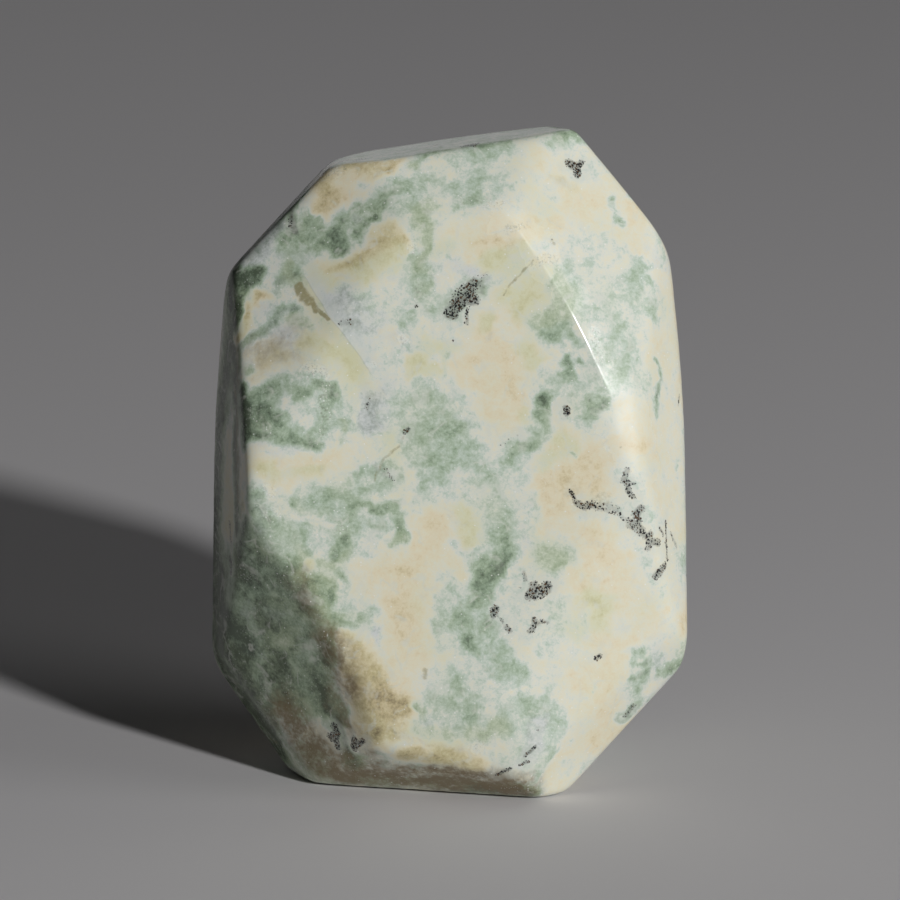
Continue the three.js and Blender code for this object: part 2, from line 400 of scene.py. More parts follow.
    ("white", 0.4, (-9.7, 3.0), (-9.4, 2.4), (-8.8, 1.7)),
    ("mint", 0.25, (-9.9, 2.2), (-9.5, 1.6), (-9.1, 1.3)),
    ("mint", 0.3, (-7.4, 3.0), (-7.6, 2.3), (-7.9, 1.6), (-7.6, 0.9)),
    ("olive", 0.22, (-6.6, 1.5), (-6.4, 0.6)),
    ("grey white", 0.5, (-11.4, 0.0), (-10.2, -0.3), (-9.4, -0.1)),
    ("cream", 0.6, (-11.6, -0.8), (-10.2, -1.5), (-9.0, -1.5), (-8.0, -1.4)),
    ("lime cream", 0.55, (-11.6, -1.2), (-9.4, -1.2), (-7.8, -1.1)),
    ("cream", 0.42, (-9.6, -0.8), (-8.0, -0.4), (-6.9, -0.4)),
    ("pale cream", 0.6, (-6.8, -1.3), (-6.0, -0.6), (-5.6, 0.4)),
    # Middle of the front table.
    ("lime cream", 0.45, (-2.4, 5.4), (-1.6, 5.6)),
    ("lime cream", 0.45, (-2.2, 4.7), (-1.2, 4.7), (-0.2, 4.9), (0.2, 5.8)),
    ("lime green", 0.35, (0.0, 6.0), (0.1, 5.2), (0.0, 4.6)),
    ("olive", 0.2, (0.6, 7.4), (0.4, 6.6)),
    ("white", 0.3, (-1.0, 5.5), (-0.6, 5.3)),
    ("pale lime", 0.6, (-1.0, 6.6), (0.4, 6.2)),
    ("white", 0.6, (-1.4, 7.4), (0.6, 6.9)),
    ("white", 0.5, (-2.2, 3.8), (0.0, 3.6), (1.4, 2.9)),
    ("pale green", 0.7, (-2.2, 2.6), (-0.6, 2.6)),
    ("green", 0.5, (-2.7, 2.7), (-2.0, 2.5), (-1.5, 2.7)),
    ("mint", 0.3, (-0.6, 3.0), (-0.4, 2.4)),
    ("pale green", 1.3, (-2.2, 2.2), (-0.8, 1.2), (0.8, -0.2), (-1.0, -1.2)),
    ("mint", 1.1, (-1.3, 1.1), (-0.4, 0.5), (-0.6, -0.4), (-1.2, -1.2)),
    ("mint", 0.9, (0.0, 0.6), (0.9, 0.1), (1.6, -0.5)),
    ("mint", 0.35, (-0.4, 1.4), (0.4, 1.2)),
    ("pale green", 0.5, (1.8, -0.4), (2.6, -0.8), (3.2, -1.1)),
    ("grey", 0.9, (-4.5, 3.0), (-4.4, 1.8)),
    ("smoky grey", 0.5, (-4.8, 2.9), (-4.6, 2.2), (-4.9, 1.6)),
    ("pale green", 0.5, (-2.9, 0.2), (-2.4, -0.6)),
    ("pale lime", 0.45, (-3.6, 1.0), (-3.2, -0.8)),
    ("pale cream", 0.4, (-2.6, -1.2), (-2.4, -1.9)),
    ("grey green", 0.65, (-4.2, -1.2), (-3.7, -1.7)),
    ("mint", 0.3, (-5.4, -1.7), (-4.7, -1.2)),
    ("grey white", 0.3, (0.3, 1.9), (1.1, 1.7), (1.5, 1.2)),
    ("white", 0.5, (1.6, 2.4), (2.2, 1.2), (2.4, 0.4)),
    ("white", 0.35, (2.2, 0.1), (3.0, -0.2)),
    # Peach patch and the green vein beside it.
    ("cream", 1.5, (2.2, 6.4), (3.2, 5.0), (3.2, 3.2)),
    ("peach", 0.5, (2.1, 6.4), (2.3, 5.7), (1.6, 5.4)),
    ("peach", 0.75, (3.6, 5.8), (3.4, 4.6), (3.4, 3.4)),
    ("cream", 0.6, (0.6, 4.7), (1.4, 4.3), (2.4, 4.2)),
    ("pale cream", 0.45, (1.4, 3.2), (1.9, 2.9)),
    ("cream", 0.5, (2.4, 2.1), (3.2, 2.5), (4.0, 2.2)),
    ("lime cream", 0.45, (4.6, 2.6), (4.5, 1.8)),
    ("lime cream", 0.5, (4.5, 6.3), (5.3, 5.4)),
    ("pale cream", 0.6, (5.0, 4.2), (5.2, 3.2)),
    ("pale cream", 0.7, (2.4, 1.2), (3.6, 1.0), (4.2, 0.7)),
    ("pale cream", 0.4, (2.8, 7.3), (3.8, 7.2)),
    ("lime cream", 0.35, (2.3, 7.9), (2.1, 7.4)),
    ("mint", 0.4, (6.9, 7.2), (6.5, 6.5), (5.7, 7.0)),
    ("white", 0.35, (6.9, 6.2), (6.3, 5.4), (5.6, 4.7)),
    ("mint", 0.35, (7.3, 6.7), (7.8, 6.0), (8.3, 6.0)),
    ("white", 0.22, (7.4, 5.4), (8.2, 5.4)),
    ("dark green", 0.35, (6.9, 5.3), (7.2, 4.8), (7.2, 4.3), (6.8, 4.0)),
    ("dark green", 0.18, (7.7, 5.1), (7.9, 5.0)),
    ("pale green", 0.8, (7.8, 3.7), (8.8, 3.5), (9.2, 4.4)),
    ("dark green", 0.55, (6.7, 4.1), (6.2, 3.6), (5.8, 3.0)),
    ("pale green", 1.0, (6.0, 3.4), (5.8, 1.4), (4.4, 0.0)),
    ("dark green", 0.45, (5.8, 3.0), (5.8, 2.0)),
    ("green", 0.5, (5.8, 2.0), (5.6, 1.2)),
    ("green", 0.5, (5.6, 1.2), (5.0, 0.4), (4.2, -0.2), (3.4, -0.7)),
    ("mint", 0.4, (6.2, 1.4), (7.2, 1.7), (8.0, 1.8)),
    ("green", 0.45, (7.6, 1.8), (8.4, 2.2), (9.0, 2.8)),
    ("grey white", 0.25, (6.7, 3.2), (6.4, 2.4), (6.2, 1.8)),
    # Cream ground at the lower right.
    ("cream", 1.7, (7.2, 0.0), (9.0, -1.0), (11.6, 0.2)),
    ("cream", 1.8, (6.2, -2.4), (7.6, -5.0), (9.0, -6.6)),
    ("cream", 1.8, (10.0, -8.4), (11.0, -10.8), (9.0, -12.6)),
    ("pale cream", 1.3, (12.0, -1.6), (12.4, -5.2), (12.6, -8.6)),
    ("pale lime", 0.5, (6.6, 0.7), (7.2, 0.3)),
    ("olive", 0.16, (6.6, -0.3), (7.4, -0.3)),
    ("pale lime", 0.5, (6.2, -0.6), (5.4, -1.0)),
    ("peach", 0.3, (7.9, -0.4), (7.6, -1.0), (7.3, -1.5)),
    ("peach", 0.65, (5.2, -1.9), (6.4, -1.7), (6.9, -2.2)),
    ("peach", 0.7, (8.6, -0.3), (9.2, -1.2), (8.6, -2.0)),
    ("peach", 0.4, (9.7, 0.6), (10.8, 0.4), (11.6, 0.5)),
    ("peach", 0.3, (12.2, 0.1), (12.2, -0.4)),
    ("white", 1.0, (10.4, -1.2), (10.9, -2.6), (11.9, -4.0)),
    ("peach", 0.5, (6.0, -3.0), (6.8, -3.6)),
    ("white", 0.5, (8.2, -4.2), (9.4, -4.3)),
    ("peach", 0.7, (8.3, -4.9), (8.9, -5.6), (9.6, -6.3), (8.4, -6.6)),
    ("white", 0.5, (10.6, -5.4), (11.6, -6.6), (12.2, -8.2)),
    ("lime green", 0.8, (5.8, -6.2), (7.0, -6.6)),
    ("lime green", 0.3, (5.0, -3.0), (5.2, -4.0), (5.0, -5.0)),
    ("peach", 0.5, (7.2, -7.4), (7.6, -8.2)),
    ("peach", 0.3, (9.4, -7.6), (9.9, -7.8)),
    ("lime cream", 0.6, (8.3, -9.0), (9.2, -9.2), (8.9, -10.4)),
    ("peach", 0.35, (9.8, -11.4), (10.8, -11.3), (11.4, -11.6)),
    ("peach", 0.3, (12.8, -9.7), (13.1, -9.4)),
    ("cream", 0.5, (12.4, -11.2), (12.8, -11.6)),
    ("pale cream", 0.5, (9.8, -10.2), (11.6, -9.8)),
    # Green river down the middle.
    ("pale green", 1.0, (2.6, -1.6), (2.4, -3.2), (1.4, -5.6), (1.6, -7.6)),
    ("white", 0.6, (4.6, -0.8), (4.2, -2.4), (4.6, -4.0), (4.4, -5.6)),
    ("white", 0.5, (0.6, -1.6), (1.4, -2.4)),
    ("grey white", 0.3, (4.3, -4.6), (4.6, -5.6), (4.0, -6.4)),
    ("pale green", 0.35, (2.0, -1.4), (3.0, -2.2)),
    ("mint", 0.5, (3.4, -3.6), (3.6, -4.4), (3.5, -5.0)),
    ("mint", 1.0, (3.0, -5.4), (2.3, -6.8), (1.8, -8.0), (0.9, -9.2)),
    ("pale green", 0.8, (0.4, -7.8), (-0.4, -9.4), (-0.2, -10.8)),
    ("dark green", 0.45, (3.3, -5.4), (3.1, -6.4), (2.6, -7.2)),
    ("dark green", 0.68, (2.4, -7.4), (2.1, -8.2)),
    ("green", 0.6, (1.6, -9.0), (0.6, -9.7)),
    ("pale green", 0.5, (0.6, -8.0), (0.0, -8.6)),
    ("white", 0.28, (1.3, -9.8), (2.1, -9.5)),
    ("mint", 0.55, (0.9, -10.2), (1.3, -11.2), (1.6, -12.2)),
    ("dark green", 0.3, (1.2, -11.4), (1.7, -12.8)),
    ("mint", 0.9, (2.2, -10.6), (2.8, -11.8), (3.1, -13.0)),
    ("white", 0.35, (3.8, -6.9), (3.3, -8.0), (3.1, -9.0)),
    ("white", 0.9, (4.4, -7.6), (5.2, -8.6), (6.2, -8.2)),
    ("white", 0.7, (3.2, -9.6), (4.2, -10.4), (5.4, -10.3)),
    ("pale lime", 0.35, (7.0, -10.6), (7.6, -11.0)),
    ("white", 0.6, (5.4, -12.0), (6.6, -11.8), (8.0, -11.8)),
    # Cream patches left of the river.
    ("lime cream", 0.65, (0.8, -3.8), (1.2, -4.6), (1.2, -5.4)),
    ("cream", 0.65, (-0.7, -4.2), (-0.6, -5.2), (-0.4, -6.3)),
    ("cream", 0.5, (-0.4, -6.3), (0.5, -6.6), (0.8, -7.2)),
    ("white", 0.28, (-0.3, -5.6), (1.0, -6.0), (2.0, -6.2)),
    ("white", 0.4, (-0.9, -2.4), (0.3, -2.9)),
    ("peach", 0.9, (-1.6, -5.0), (-1.8, -6.2), (-2.6, -7.0), (-3.4, -8.0)),
    ("peach", 1.0, (-3.5, -8.4), (-3.2, -9.6), (-2.6, -10.8), (-2.6, -12.0)),
    ("cream", 0.8, (-1.2, -7.6), (-1.4, -9.2)),
    ("cream", 0.7, (-5.0, -7.5), (-4.4, -8.3)),
    ("pale cream", 0.5, (-4.8, -5.9), (-3.9, -6.1)),
    ("pale green", 0.4, (-0.4, -8.9), (-0.2, -10.6), (-0.6, -11.6)),
    # Green and white clouds at the lower left of the table.
    ("pale green", 1.4, (-8.6, -4.4), (-6.6, -5.2), (-8.2, -6.6)),
    ("lime green", 1.1, (-8.0, -3.0), (-7.0, -3.4)),
    ("mint", 0.8, (-8.0, -2.9), (-7.2, -3.2), (-6.4, -3.4)),
    ("lime green", 0.8, (-9.0, -6.6), (-7.4, -6.6), (-6.4, -6.4)),
    ("white", 0.3, (-9.6, -3.9), (-8.2, -4.1), (-7.0, -4.4)),
    ("green", 0.4, (-5.6, -3.4), (-4.8, -3.2), (-4.2, -3.4)),
    ("mint", 0.4, (-5.2, -2.4), (-4.2, -2.2)),
    ("green", 0.36, (-4.1, -3.2), (-3.3, -3.5), (-3.0, -4.4), (-2.9, -5.2)),
    ("olive", 0.3, (-2.9, -5.2), (-3.6, -5.6)),
    ("mint", 0.4, (-5.8, -4.4), (-4.6, -4.6), (-3.8, -4.3)),
    ("white", 0.3, (-4.4, -5.2), (-5.4, -5.6)),
    ("green", 0.3, (-6.1, -5.0), (-6.4, -5.6), (-6.8, -6.4)),
    ("mint", 0.4, (-9.0, -4.7), (-8.6, -5.3), (-8.4, -5.8)),
    ("green", 0.25, (-9.8, -2.6), (-9.3, -3.0)),
    ("white", 0.5, (-7.9, -5.4), (-7.6, -6.2)),
    ("olive", 0.35, (-7.8, -6.6), (-7.0, -6.8)),
    ("lime cream", 0.4, (-8.6, -6.9), (-8.9, -7.5)),
    ("white", 0.25, (-8.0, -7.5), (-6.9, -7.5)),
    ("green", 0.3, (-6.5, -7.5), (-6.3, -7.8)),
    ("lime green", 0.8, (-7.6, -8.2), (-7.2, -9.4), (-6.6, -10.2)),
    ("green", 0.4, (-7.8, -8.2), (-7.3, -8.6), (-7.0, -9.2)),
    ("white", 0.4, (-6.4, -8.3), (-5.8, -8.9), (-6.5, -9.6)),
    ("green", 0.4, (-6.6, -10.3), (-5.8, -10.4), (-5.0, -9.8)),
    ("white", 0.4, (-4.7, -9.2), (-4.9, -10.6)),
    ("grey", 0.42, (-4.5, -10.9), (-4.3, -12.2)),
    ("white", 0.25, (-4.9, -11.2), (-5.0, -12.6)),
    ("lime cream", 0.4, (-5.7, -11.4), (-5.5, -12.4)),
    ("olive", 0.4, (-7.2, -11.4), (-6.8, -12.3), (-6.2, -12.6)),
    # Left edge and the shaded slope at the lower left. Their dark olive is partly the stone's
    # colour and partly painted shade.
    ("dark olive", 2.3, (-11.8, -7.0), (-10.8, -10.5), (-9.4, -13.4)),
    ("grey green", 0.8, (-12.4, -9.0), (-11.6, -12.0)),
    ("dark olive", 1.6, (-13.8, -7.0), (-13.4, -11.6), (-12.0, -14.4), (-10.8, -16.8)),
    ("painted shade olive", 1.0, (-14.0, -11.0), (-12.8, -14.2), (-11.4, -16.2), (-10.1, -18.0)),
    ("dark olive", 0.8, (-8.9, -8.6), (-8.1, -10.4), (-7.4, -12.4)),
    ("grey green", 0.8, (-11.6, -3.0), (-11.2, -4.4), (-10.6, -5.2)),
    ("pale green", 0.7, (-10.2, -5.4), (-9.8, -6.4)),
    ("dark green", 0.4, (-12.2, -4.6), (-11.8, -5.6)),
    ("dark green", 0.7, (-12.2, -6.0), (-11.8, -7.2), (-10.6, -7.2), (-9.9, -6.9)),
    ("dark green", 0.7, (-12.8, -8.4), (-11.4, -8.4), (-10.2, -8.0)),
    ("grey green", 0.6, (-10.8, -9.6), (-9.8, -9.8)),
    ("black green", 0.8, (-13.4, -9.8), (-12.8, -11.0), (-12.0, -11.6)),
    ("green", 0.5, (-9.2, -10.2), (-8.2, -10.6), (-7.4, -10.9)),
    ("olive", 0.5, (-10.6, -11.4), (-9.8, -11.2)),
    ("green", 0.6, (-8.2, -11.8), (-9.2, -12.6), (-8.6, -13.8)),
    ("green", 0.6, (-8.6, -14.0), (-7.4, -15.2), (-6.4, -15.6)),
    ("dark olive", 0.8, (-10.2, -13.2), (-9.8, -14.8)),
    ("dark green", 0.4, (-11.2, -13.6), (-11.0, -15.0), (-10.5, -16.2)),
    ("dark olive", 0.8, (-7.4, -14.6), (-6.8, -16.0), (-6.2, -17.4), (-5.8, -18.6)),
    ("brown grey", 0.4, (-6.2, -16.6), (-5.6, -17.8)),
    # Bottom of the front.
    ("cream", 1.3, (-4.6, -13.4), (-3.0, -14.2), (-2.6, -12.6)),
    ("ochre", 0.8, (-5.7, -11.8), (-5.6, -14.2), (-4.8, -15.2), (-5.0, -16.6)),
    ("ochre", 0.9, (-5.2, -12.6), (-4.6, -14.0), (-4.8, -16.0)),
    ("tan", 0.7, (-4.2, -14.9), (-2.8, -15.2), (-3.6, -16.0)),
    ("tan", 0.6, (-4.8, -17.2), (-3.4, -17.0), (-2.4, -17.2)),
    ("white", 0.6, (-1.6, -13.6), (-1.4, -14.6)),
    ("grey white", 0.7, (-1.4, -16.2), (-0.4, -17.2)),
    ("olive", 0.3, (-2.0, -15.3), (-1.7, -15.7)),
    ("brown grey", 0.9, (-2.6, -17.4), (-0.8, -17.7), (0.8, -18.0)),
    ("lime green", 0.5, (-2.2, -16.6), (0.2, -17.2)),
    ("mint", 0.45, (-1.0, -14.8), (0.0, -15.0)),
    ("pale green", 0.5, (-3.0, -17.8), (-1.4, -18.2)),
    ("white", 1.0, (1.4, -13.6), (2.2, -14.4), (3.2, -16.0)),
    ("pale green", 1.2, (0.0, -14.8), (1.0, -15.6), (2.4, -16.8)),
    ("mint", 0.8, (0.6, -15.0), (1.2, -15.6), (1.3, -16.2)),
    ("mint", 0.35, (0.2, -13.3), (0.6, -14.0), (0.3, -14.8)),
    ("mint", 0.5, (2.6, -13.2), (3.6, -13.0), (4.4, -13.2)),
    ("mint", 0.25, (3.6, -14.2), (4.3, -13.5)),
    ("lime green", 0.5, (1.4, -17.2), (2.6, -17.1), (3.2, -16.4)),
    ("pale cream", 0.5, (1.9, -17.9), (3.2, -17.7)),
    ("pale green", 1.0, (4.6, -15.4), (5.6, -17.0), (5.2, -18.6)),
    ("mint", 0.45, (4.2, -14.9), (5.0, -15.6), (5.7, -15.0), (6.1, -14.5)),
    ("mint", 0.4, (6.3, -15.4), (6.6, -16.6), (6.4, -17.6), (5.8, -18.6), (5.3, -19.2)),
    ("grey", 0.55, (5.4, -16.2), (5.1, -17.6), (4.3, -18.6)),
    ("white", 0.4, (5.4, -13.6), (6.4, -13.2)),
    ("ochre", 0.5, (-2.8, -18.2), (-0.8, -18.4), (0.6, -18.5), (1.6, -18.7)),
    # The underside, seen edge on, painted olive and a darker olive as painted shade.
    ("olive", 0.9, (-7.2, -19.6), (-3.0, -19.8), (1.0, -20.1)),
    ("painted shade olive", 0.8, (1.8, -20.2), (4.6, -20.4)),
    # Lower right bevel.
    ("pale cream", 0.9, (7.4, -14.6), (7.6, -16.6), (7.0, -18.4)),
    ("cream", 0.6, (8.2, -13.4), (9.4, -14.8)),
    ("peach", 0.6, (9.3, -15.4), (9.2, -16.4), (8.5, -17.6)),
    ("peach", 0.4, (7.2, -13.4), (7.5, -13.8)),
    ("white", 0.5, (10.4, -13.9), (10.9, -14.8)),
    ("cream", 0.5, (12.2, -13.2), (12.8, -12.4)),
    ("olive", 0.14, (8.5, -14.4), (9.2, -14.0)),
    ("grey white", 0.9, (11.6, -15.2), (12.6, -14.2), (13.8, -13.0)),
    ("pale green", 0.7, (11.2, -12.4), (11.4, -13.6), (10.8, -15.0)),
    ("grey green", 0.26, (10.7, -12.6), (11.3, -12.3), (11.8, -12.8), (11.5, -13.5), (10.9, -13.5)),
    ("white", 0.2, (11.2, -12.9)),
    ("green", 0.3, (12.6, -13.3), (13.3, -12.9)),
    ("mint", 0.2, (11.2, -13.8), (11.0, -14.4)),
    ("grey green", 0.4, (11.0, -15.3), (10.4, -15.8)),
    # Right side.
    ("pale cream", 1.2, (13.0, 6.6), (13.4, 2.0), (13.4, -4.0)),
    ("grey green", 0.3, (12.4, 5.2), (12.5, 4.0), (12.2, 2.4)),
    ("pale green", 0.25, (13.5, -0.4), (13.5, -1.6)),
]

# Brown in the stone at the lower left, and brown painted shade at the foot and on the rounded ridge
# at the lower left: strength, half width, path.
FRONT_BROWN_AND_PAINTED_SHADE = [
    (1.15, 1.6, (-9.8, -15.8), (-8.6, -17.2), (-7.4, -18.8)),
    # Painted shade at the top of the foot.
    (1.0, 0.9, (-6.4, -18.6), (-4.4, -18.9)),
    # Painted shade on the rounded ridge between the front table and the lower left slope.
    (0.6, 0.9, (-9.2, -7.8), (-7.9, -10.2)),
    (0.9, 1.0, (-7.4, -11.2), (-6.4, -12.8), (-5.9, -14.4)),
    (0.8, 0.8, (-6.9, -13.4), (-6.6, -15.4), (-5.8, -16.8), (-5.0, -18.0)),
    (0.3, 0.9, (-5.4, -12.8), (-5.2, -15.8)),
    (0.5, 1.2, (-11.6, 6.0), (-9.4, 6.4)),
    (0.8, 0.4, (-12.7, 6.0), (-12.7, 0.0), (-12.6, -3.0)),
    # Painted shade along the foot.
    (1.4, 1.2, (-6.8, -19.4), (-3.0, -19.6), (1.0, -19.9), (4.2, -20.2)),
    (1.3, 0.6, (-7.6, -19.3), (-4.0, -19.2), (0.0, -19.2), (3.2, -19.6)),
]

# Black clusters and stains on the front: strength, half width, path.
FRONT_SPOTS = [
    # The large cluster and its tail.
    (1.0, 0.4, (0.0, 8.2), (0.7, 8.9), (1.2, 9.4)),
    (1.0, 0.38, (0.7, 9.0), (1.4, 9.0)),
    (0.9, 0.3, (1.0, 9.6), (1.5, 10.0)),
    (0.55, 0.3, (0.4, 9.2), (0.8, 9.7)),
    (1.0, 0.22, (-0.1, 8.05), (0.3, 8.0)),
    (0.45, 0.2, (1.7, 10.2), (2.2, 10.5)),
    (0.8, 0.12, (1.0, 8.4), (1.0, 7.7)),
    (0.7, 0.14, (0.95, 7.6), (1.0, 7.5)),
    # Smaller spots.
    (1.25, 0.26, (7.1, 17.1), (7.5, 16.9), (7.6, 16.5)),
    (1.1, 0.18, (7.8, 17.1), (7.6, 16.9)),
    (1.1, 0.2, (6.9, 2.5), (7.0, 2.2)),
    (0.9, 0.14, (-2.7, 1.05), (-2.5, 1.25)),
    (0.5, 0.3, (-6.4, 7.6), (-6.0, 7.6)),
    (0.45, 0.12, (-3.9, -1.0), (-3.6, -1.5), (-3.4, -1.8)),
    (0.5, 0.16, (-5.0, 2.5), (-4.8, 2.9)),
    (0.9, 0.08, (4.0, 0.9)),
    (0.7, 0.08, (3.5, 0.6)),
    (0.7, 0.08, (3.05, 0.3)),
    (0.5, 0.08, (3.3, 0.35)),
    (0.8, 0.08, (0.2, 6.5)),
    (0.6, 0.12, (-2.0, 8.6)),
    (0.6, 0.1, (6.05, 12.55)),
    (0.7, 0.2, (-9.5, 13.9), (-9.5, 13.4)),
    (0.5, 0.35, (-9.9, 14.1), (-9.2, 14.9)),
    # Cross at the right.
    (0.85, 0.18, (10.6, -1.2), (10.4, -1.7), (10.6, -2.05)),
    (0.85, 0.18, (10.6, -2.0), (10.6, -2.4), (10.9, -2.8)),
    (0.7, 0.14, (10.3, -1.9), (11.0, -2.0)),
    # Chain of clusters to the right edge.
    (0.8, 0.16, (7.2, -2.5), (7.4, -2.9), (7.6, -3.2)),
    (0.9, 0.22, (7.6, -3.2), (8.0, -3.4), (8.5, -3.3)),
    (0.6, 0.32, (8.2, -3.3), (9.2, -3.4), (9.9, -3.6)),
    (0.6, 0.19, (10.1, -3.8), (10.6, -4.3)),
    (0.95, 0.27, (11.4, -3.5), (11.1, -3.8), (11.2, -4.3)),
    (0.85, 0.32, (10.8, -4.4), (11.2, -4.6), (11.4, -4.9)),
    (0.85, 0.24, (11.4, -4.9), (11.8, -5.2), (12.0, -5.0)),
    (0.9, 0.24, (11.9, -5.5), (12.4, -5.5)),
    (0.75, 0.19, (11.9, -5.6), (11.8, -5.9)),
    (0.8, 0.11, (12.5, -4.6), (12.7, -5.1)),
    (0.85, 0.11, (12.85, -4.3), (12.9, -5.4), (12.95, -6.6)),
    (0.6, 0.14, (13.2, -5.0), (13.5, -5.8)),
    (0.95, 0.22, (12.8, -6.9), (12.5, -7.3), (12.3, -7.5)),
    # Clusters below the middle.
    (1.0, 0.3, (4.7, -8.7), (5.0, -8.4), (5.4, -8.3), (5.8, -8.1)),
    (0.9, 0.27, (5.0, -8.05), (5.1, -8.7)),
    (0.75, 0.19, (5.9, -8.4), (5.4, -8.7)),
    (0.7, 0.16, (4.4, -7.3), (4.5, -7.75)),
    (0.7, 0.09, (4.2, -8.2)),
    (0.95, 0.27, (2.7, -9.5), (2.6, -9.8)),
    (0.8, 0.08, (2.9, -9.9), (3.2, -10.3)),
    (0.9, 0.23, (3.4, -10.6), (3.5, -10.7)),
    (0.85, 0.18, (5.0, -10.1), (5.1, -10.4), (4.8, -10.8)),
    (0.7, 0.14, (5.2, -10.4), (5.5, -10.2), (5.85, -10.3)),
    (0.95, 0.18, (8.75, -12.4), (8.9, -12.3)),
    # Spots at the bottom.
    (1.1, 0.28, (-6.9, -16.5), (-6.7, -16.9), (-6.9, -17.1)),
    (1.0, 0.22, (-7.2, -17.1), (-6.8, -17.3), (-6.7, -17.7)),
    (1.1, 0.26, (-5.7, -17.3), (-5.7, -17.8)),
    (1.0, 0.2, (-5.7, -17.8), (-5.2, -17.35)),
    (1.0, 0.1, (5.1, -17.7), (4.9, -17.9), (4.4, -18.3)),
    (1.0, 0.12, (4.6, -18.6), (4.2, -18.8)),
    (1.0, 0.12, (3.6, -19.0), (3.2, -19.2), (2.8, -19.4)),
    (0.8, 0.09, (5.25, -16.75)),
    (0.75, 0.24, (10.9, -15.3), (10.5, -15.8)),
    (0.55, 0.12, (13.7, 3.3), (13.6, 2.7)),
]

# Rusty and olive stains on the front: strength, half width, path.
FRONT_STAINS = [
    (1.0, 0.34, (-9.0, 9.7), (-8.75, 9.1), (-8.4, 8.9)),
    (1.0, 0.22, (-8.4, 9.0), (-8.0, 8.4)),
    (1.0, 0.14, (-7.9, 8.4), (-7.3, 7.85)),
    (0.7, 0.08, (5.0, 11.3), (4.2, 10.5), (3.6, 9.9), (3.2, 9.2)),
    (0.6, 0.1, (-2.8, 0.8), (-3.1, 0.2), (-3.9, -0.5), (-4.3, -1.2), (-4.5, -1.8)),
    (0.6, 0.12, (6.0, 12.5), (6.2, 12.3)),
    (0.6, 0.12, (-2.0, 8.6)),
    (0.7, 0.08, (10.2, 0.15)),
    (0.5, 0.12, (9.8, -2.0)),
    (0.5, 0.08, (11.5, -1.9)),
    (0.4, 0.4, (8.6, -2.8), (9.4, -2.9)),
    (0.35, 0.09, (1.5, -8.6), (1.9, -9.1)),
    (0.6, 0.2, (-1.5, -13.2), (-1.5, -13.6)),
    (0.35, 0.25, (12.2, -5.5), (11.2, -4.4)),
    (0.4, 0.2, (5.6, -10.3), (5.0, -10.5)),
    (0.4, 0.12, (-3.6, -16.6), (-3.1, -17.1)),
    (0.35, 0.5, (-5.4, -13.6), (-5.4, -15.0)),
]

# Small unpolished spots with pits and more painted glints on the front: strength, half width, path.
FRONT_GRAINY = [
    (0.9, 0.5, (-8.4, 4.7), (-7.8, 4.5)),
    (1.0, 0.35, (-7.3, 3.8), (-7.6, 2.8), (-7.4, 2.0)),
    (0.8, 0.25, (-7.7, 1.3), (-7.5, 0.9)),
    (0.8, 0.4, (-10.9, -4.0), (-10.6, -3.8)),
    (0.6, 0.6, (-11.8, 1.9), (-11.2, 1.4)),
    (0.8, 0.35, (-6.5, -4.7), (-6.3, -4.9)),
    (0.8, 0.35, (8.6, 7.0), (8.7, 6.0), (8.9, 5.4)),
    (0.7, 0.35, (5.0, 11.2), (6.2, 11.4)),
    (0.8, 0.25, (-2.3, 12.2), (-2.1, 11.6)),
    (0.7, 0.2, (-1.9, 10.0), (-1.9, 9.0)),
    (0.8, 0.25, (-2.9, 6.7), (-2.7, 6.4)),
    (0.8, 0.2, (-4.8, 5.1), (-4.6, 5.1)),
    (0.8, 0.25, (-5.0, 2.4), (-4.7, 2.9)),
    (0.6, 0.4, (-11.6, -2.4), (-10.8, -2.5)),
    (0.7, 0.25, (3.4, 13.2), (4.4, 13.4)),
    (0.7, 0.3, (0.8, 14.9), (3.0, 14.7)),
    (0.6, 0.2, (-6.9, -6.0), (-6.9, -6.5)),
    (0.6, 0.3, (2.3, -16.9), (1.5, -17.9)),
]

# Places with less polish on the front: strength, half width, path.
FRONT_DULL = [
    (1.3, 1.2, (9.9, 3.0), (10.9, 1.0), (11.4, -0.6)),
    (1.3, 0.9, (5.2, 12.1), (4.4, 13.0), (3.4, 13.8)),
    (1.7, 0.8, (5.2, 12.1), (7.1, 9.2)),
    (0.8, 0.4, (9.2, 4.8), (9.7, 3.8)),
]

# The healed crack on the front, with smoky stone above it and lime stone below it.
CRACK = [(-9.0, 10.8), (-8.65, 10.3), (-7.6, 8.6), (-7.1, 7.8), (-5.75, 6.1), (-4.4, 4.1)]


def facet_planes(node):
    """The planes of the CAD stone's flat facets: outward directions, and distances in mm."""
    solid = bmesh.new()
    solid.from_mesh(node.data)
    bmesh.ops.remove_doubles(solid, verts=solid.verts, dist=SAME_PLACE * MM)
    bmesh.ops.dissolve_limit(
        solid, angle_limit=math.radians(SAME_PLANE), verts=solid.verts, edges=solid.edges
    )
    directions, distances = [], []
    for face in solid.faces:
        longest = max(edge.calc_length() for edge in face.edges)
        if face.calc_area() / longest > NARROWEST_FACET * MM:
            directions.append(face.normal[:])
            distances.append(face.normal.dot(face.calc_center_median()) / MM)
    solid.free()
    return np.array(directions), np.array(distances)


def block_of_cells(low, high):
    """A box with its faces cut into small square cells, in metres."""
    size = np.array(high) - np.array(low)
    block = bmesh.new()
    bmesh.ops.create_cube(block, size=1)
    bmesh.ops.scale(block, vec=size, verts=block.verts)
    bmesh.ops.translate(block, vec=(np.array(low) + np.array(high)) / 2, verts=block.verts)
    for axis in range(3):
        along = []
        for edge in block.edges:
            step = edge.verts[1].co - edge.verts[0].co
            if abs(step[axis]) > 0.9 * step.length:
                along.append(edge)
        cuts = round(size[axis] / (CELL * MM)) - 1
        bmesh.ops.subdivide_edges(block, edges=along, cuts=cuts, use_grid_fill=True)
    return block


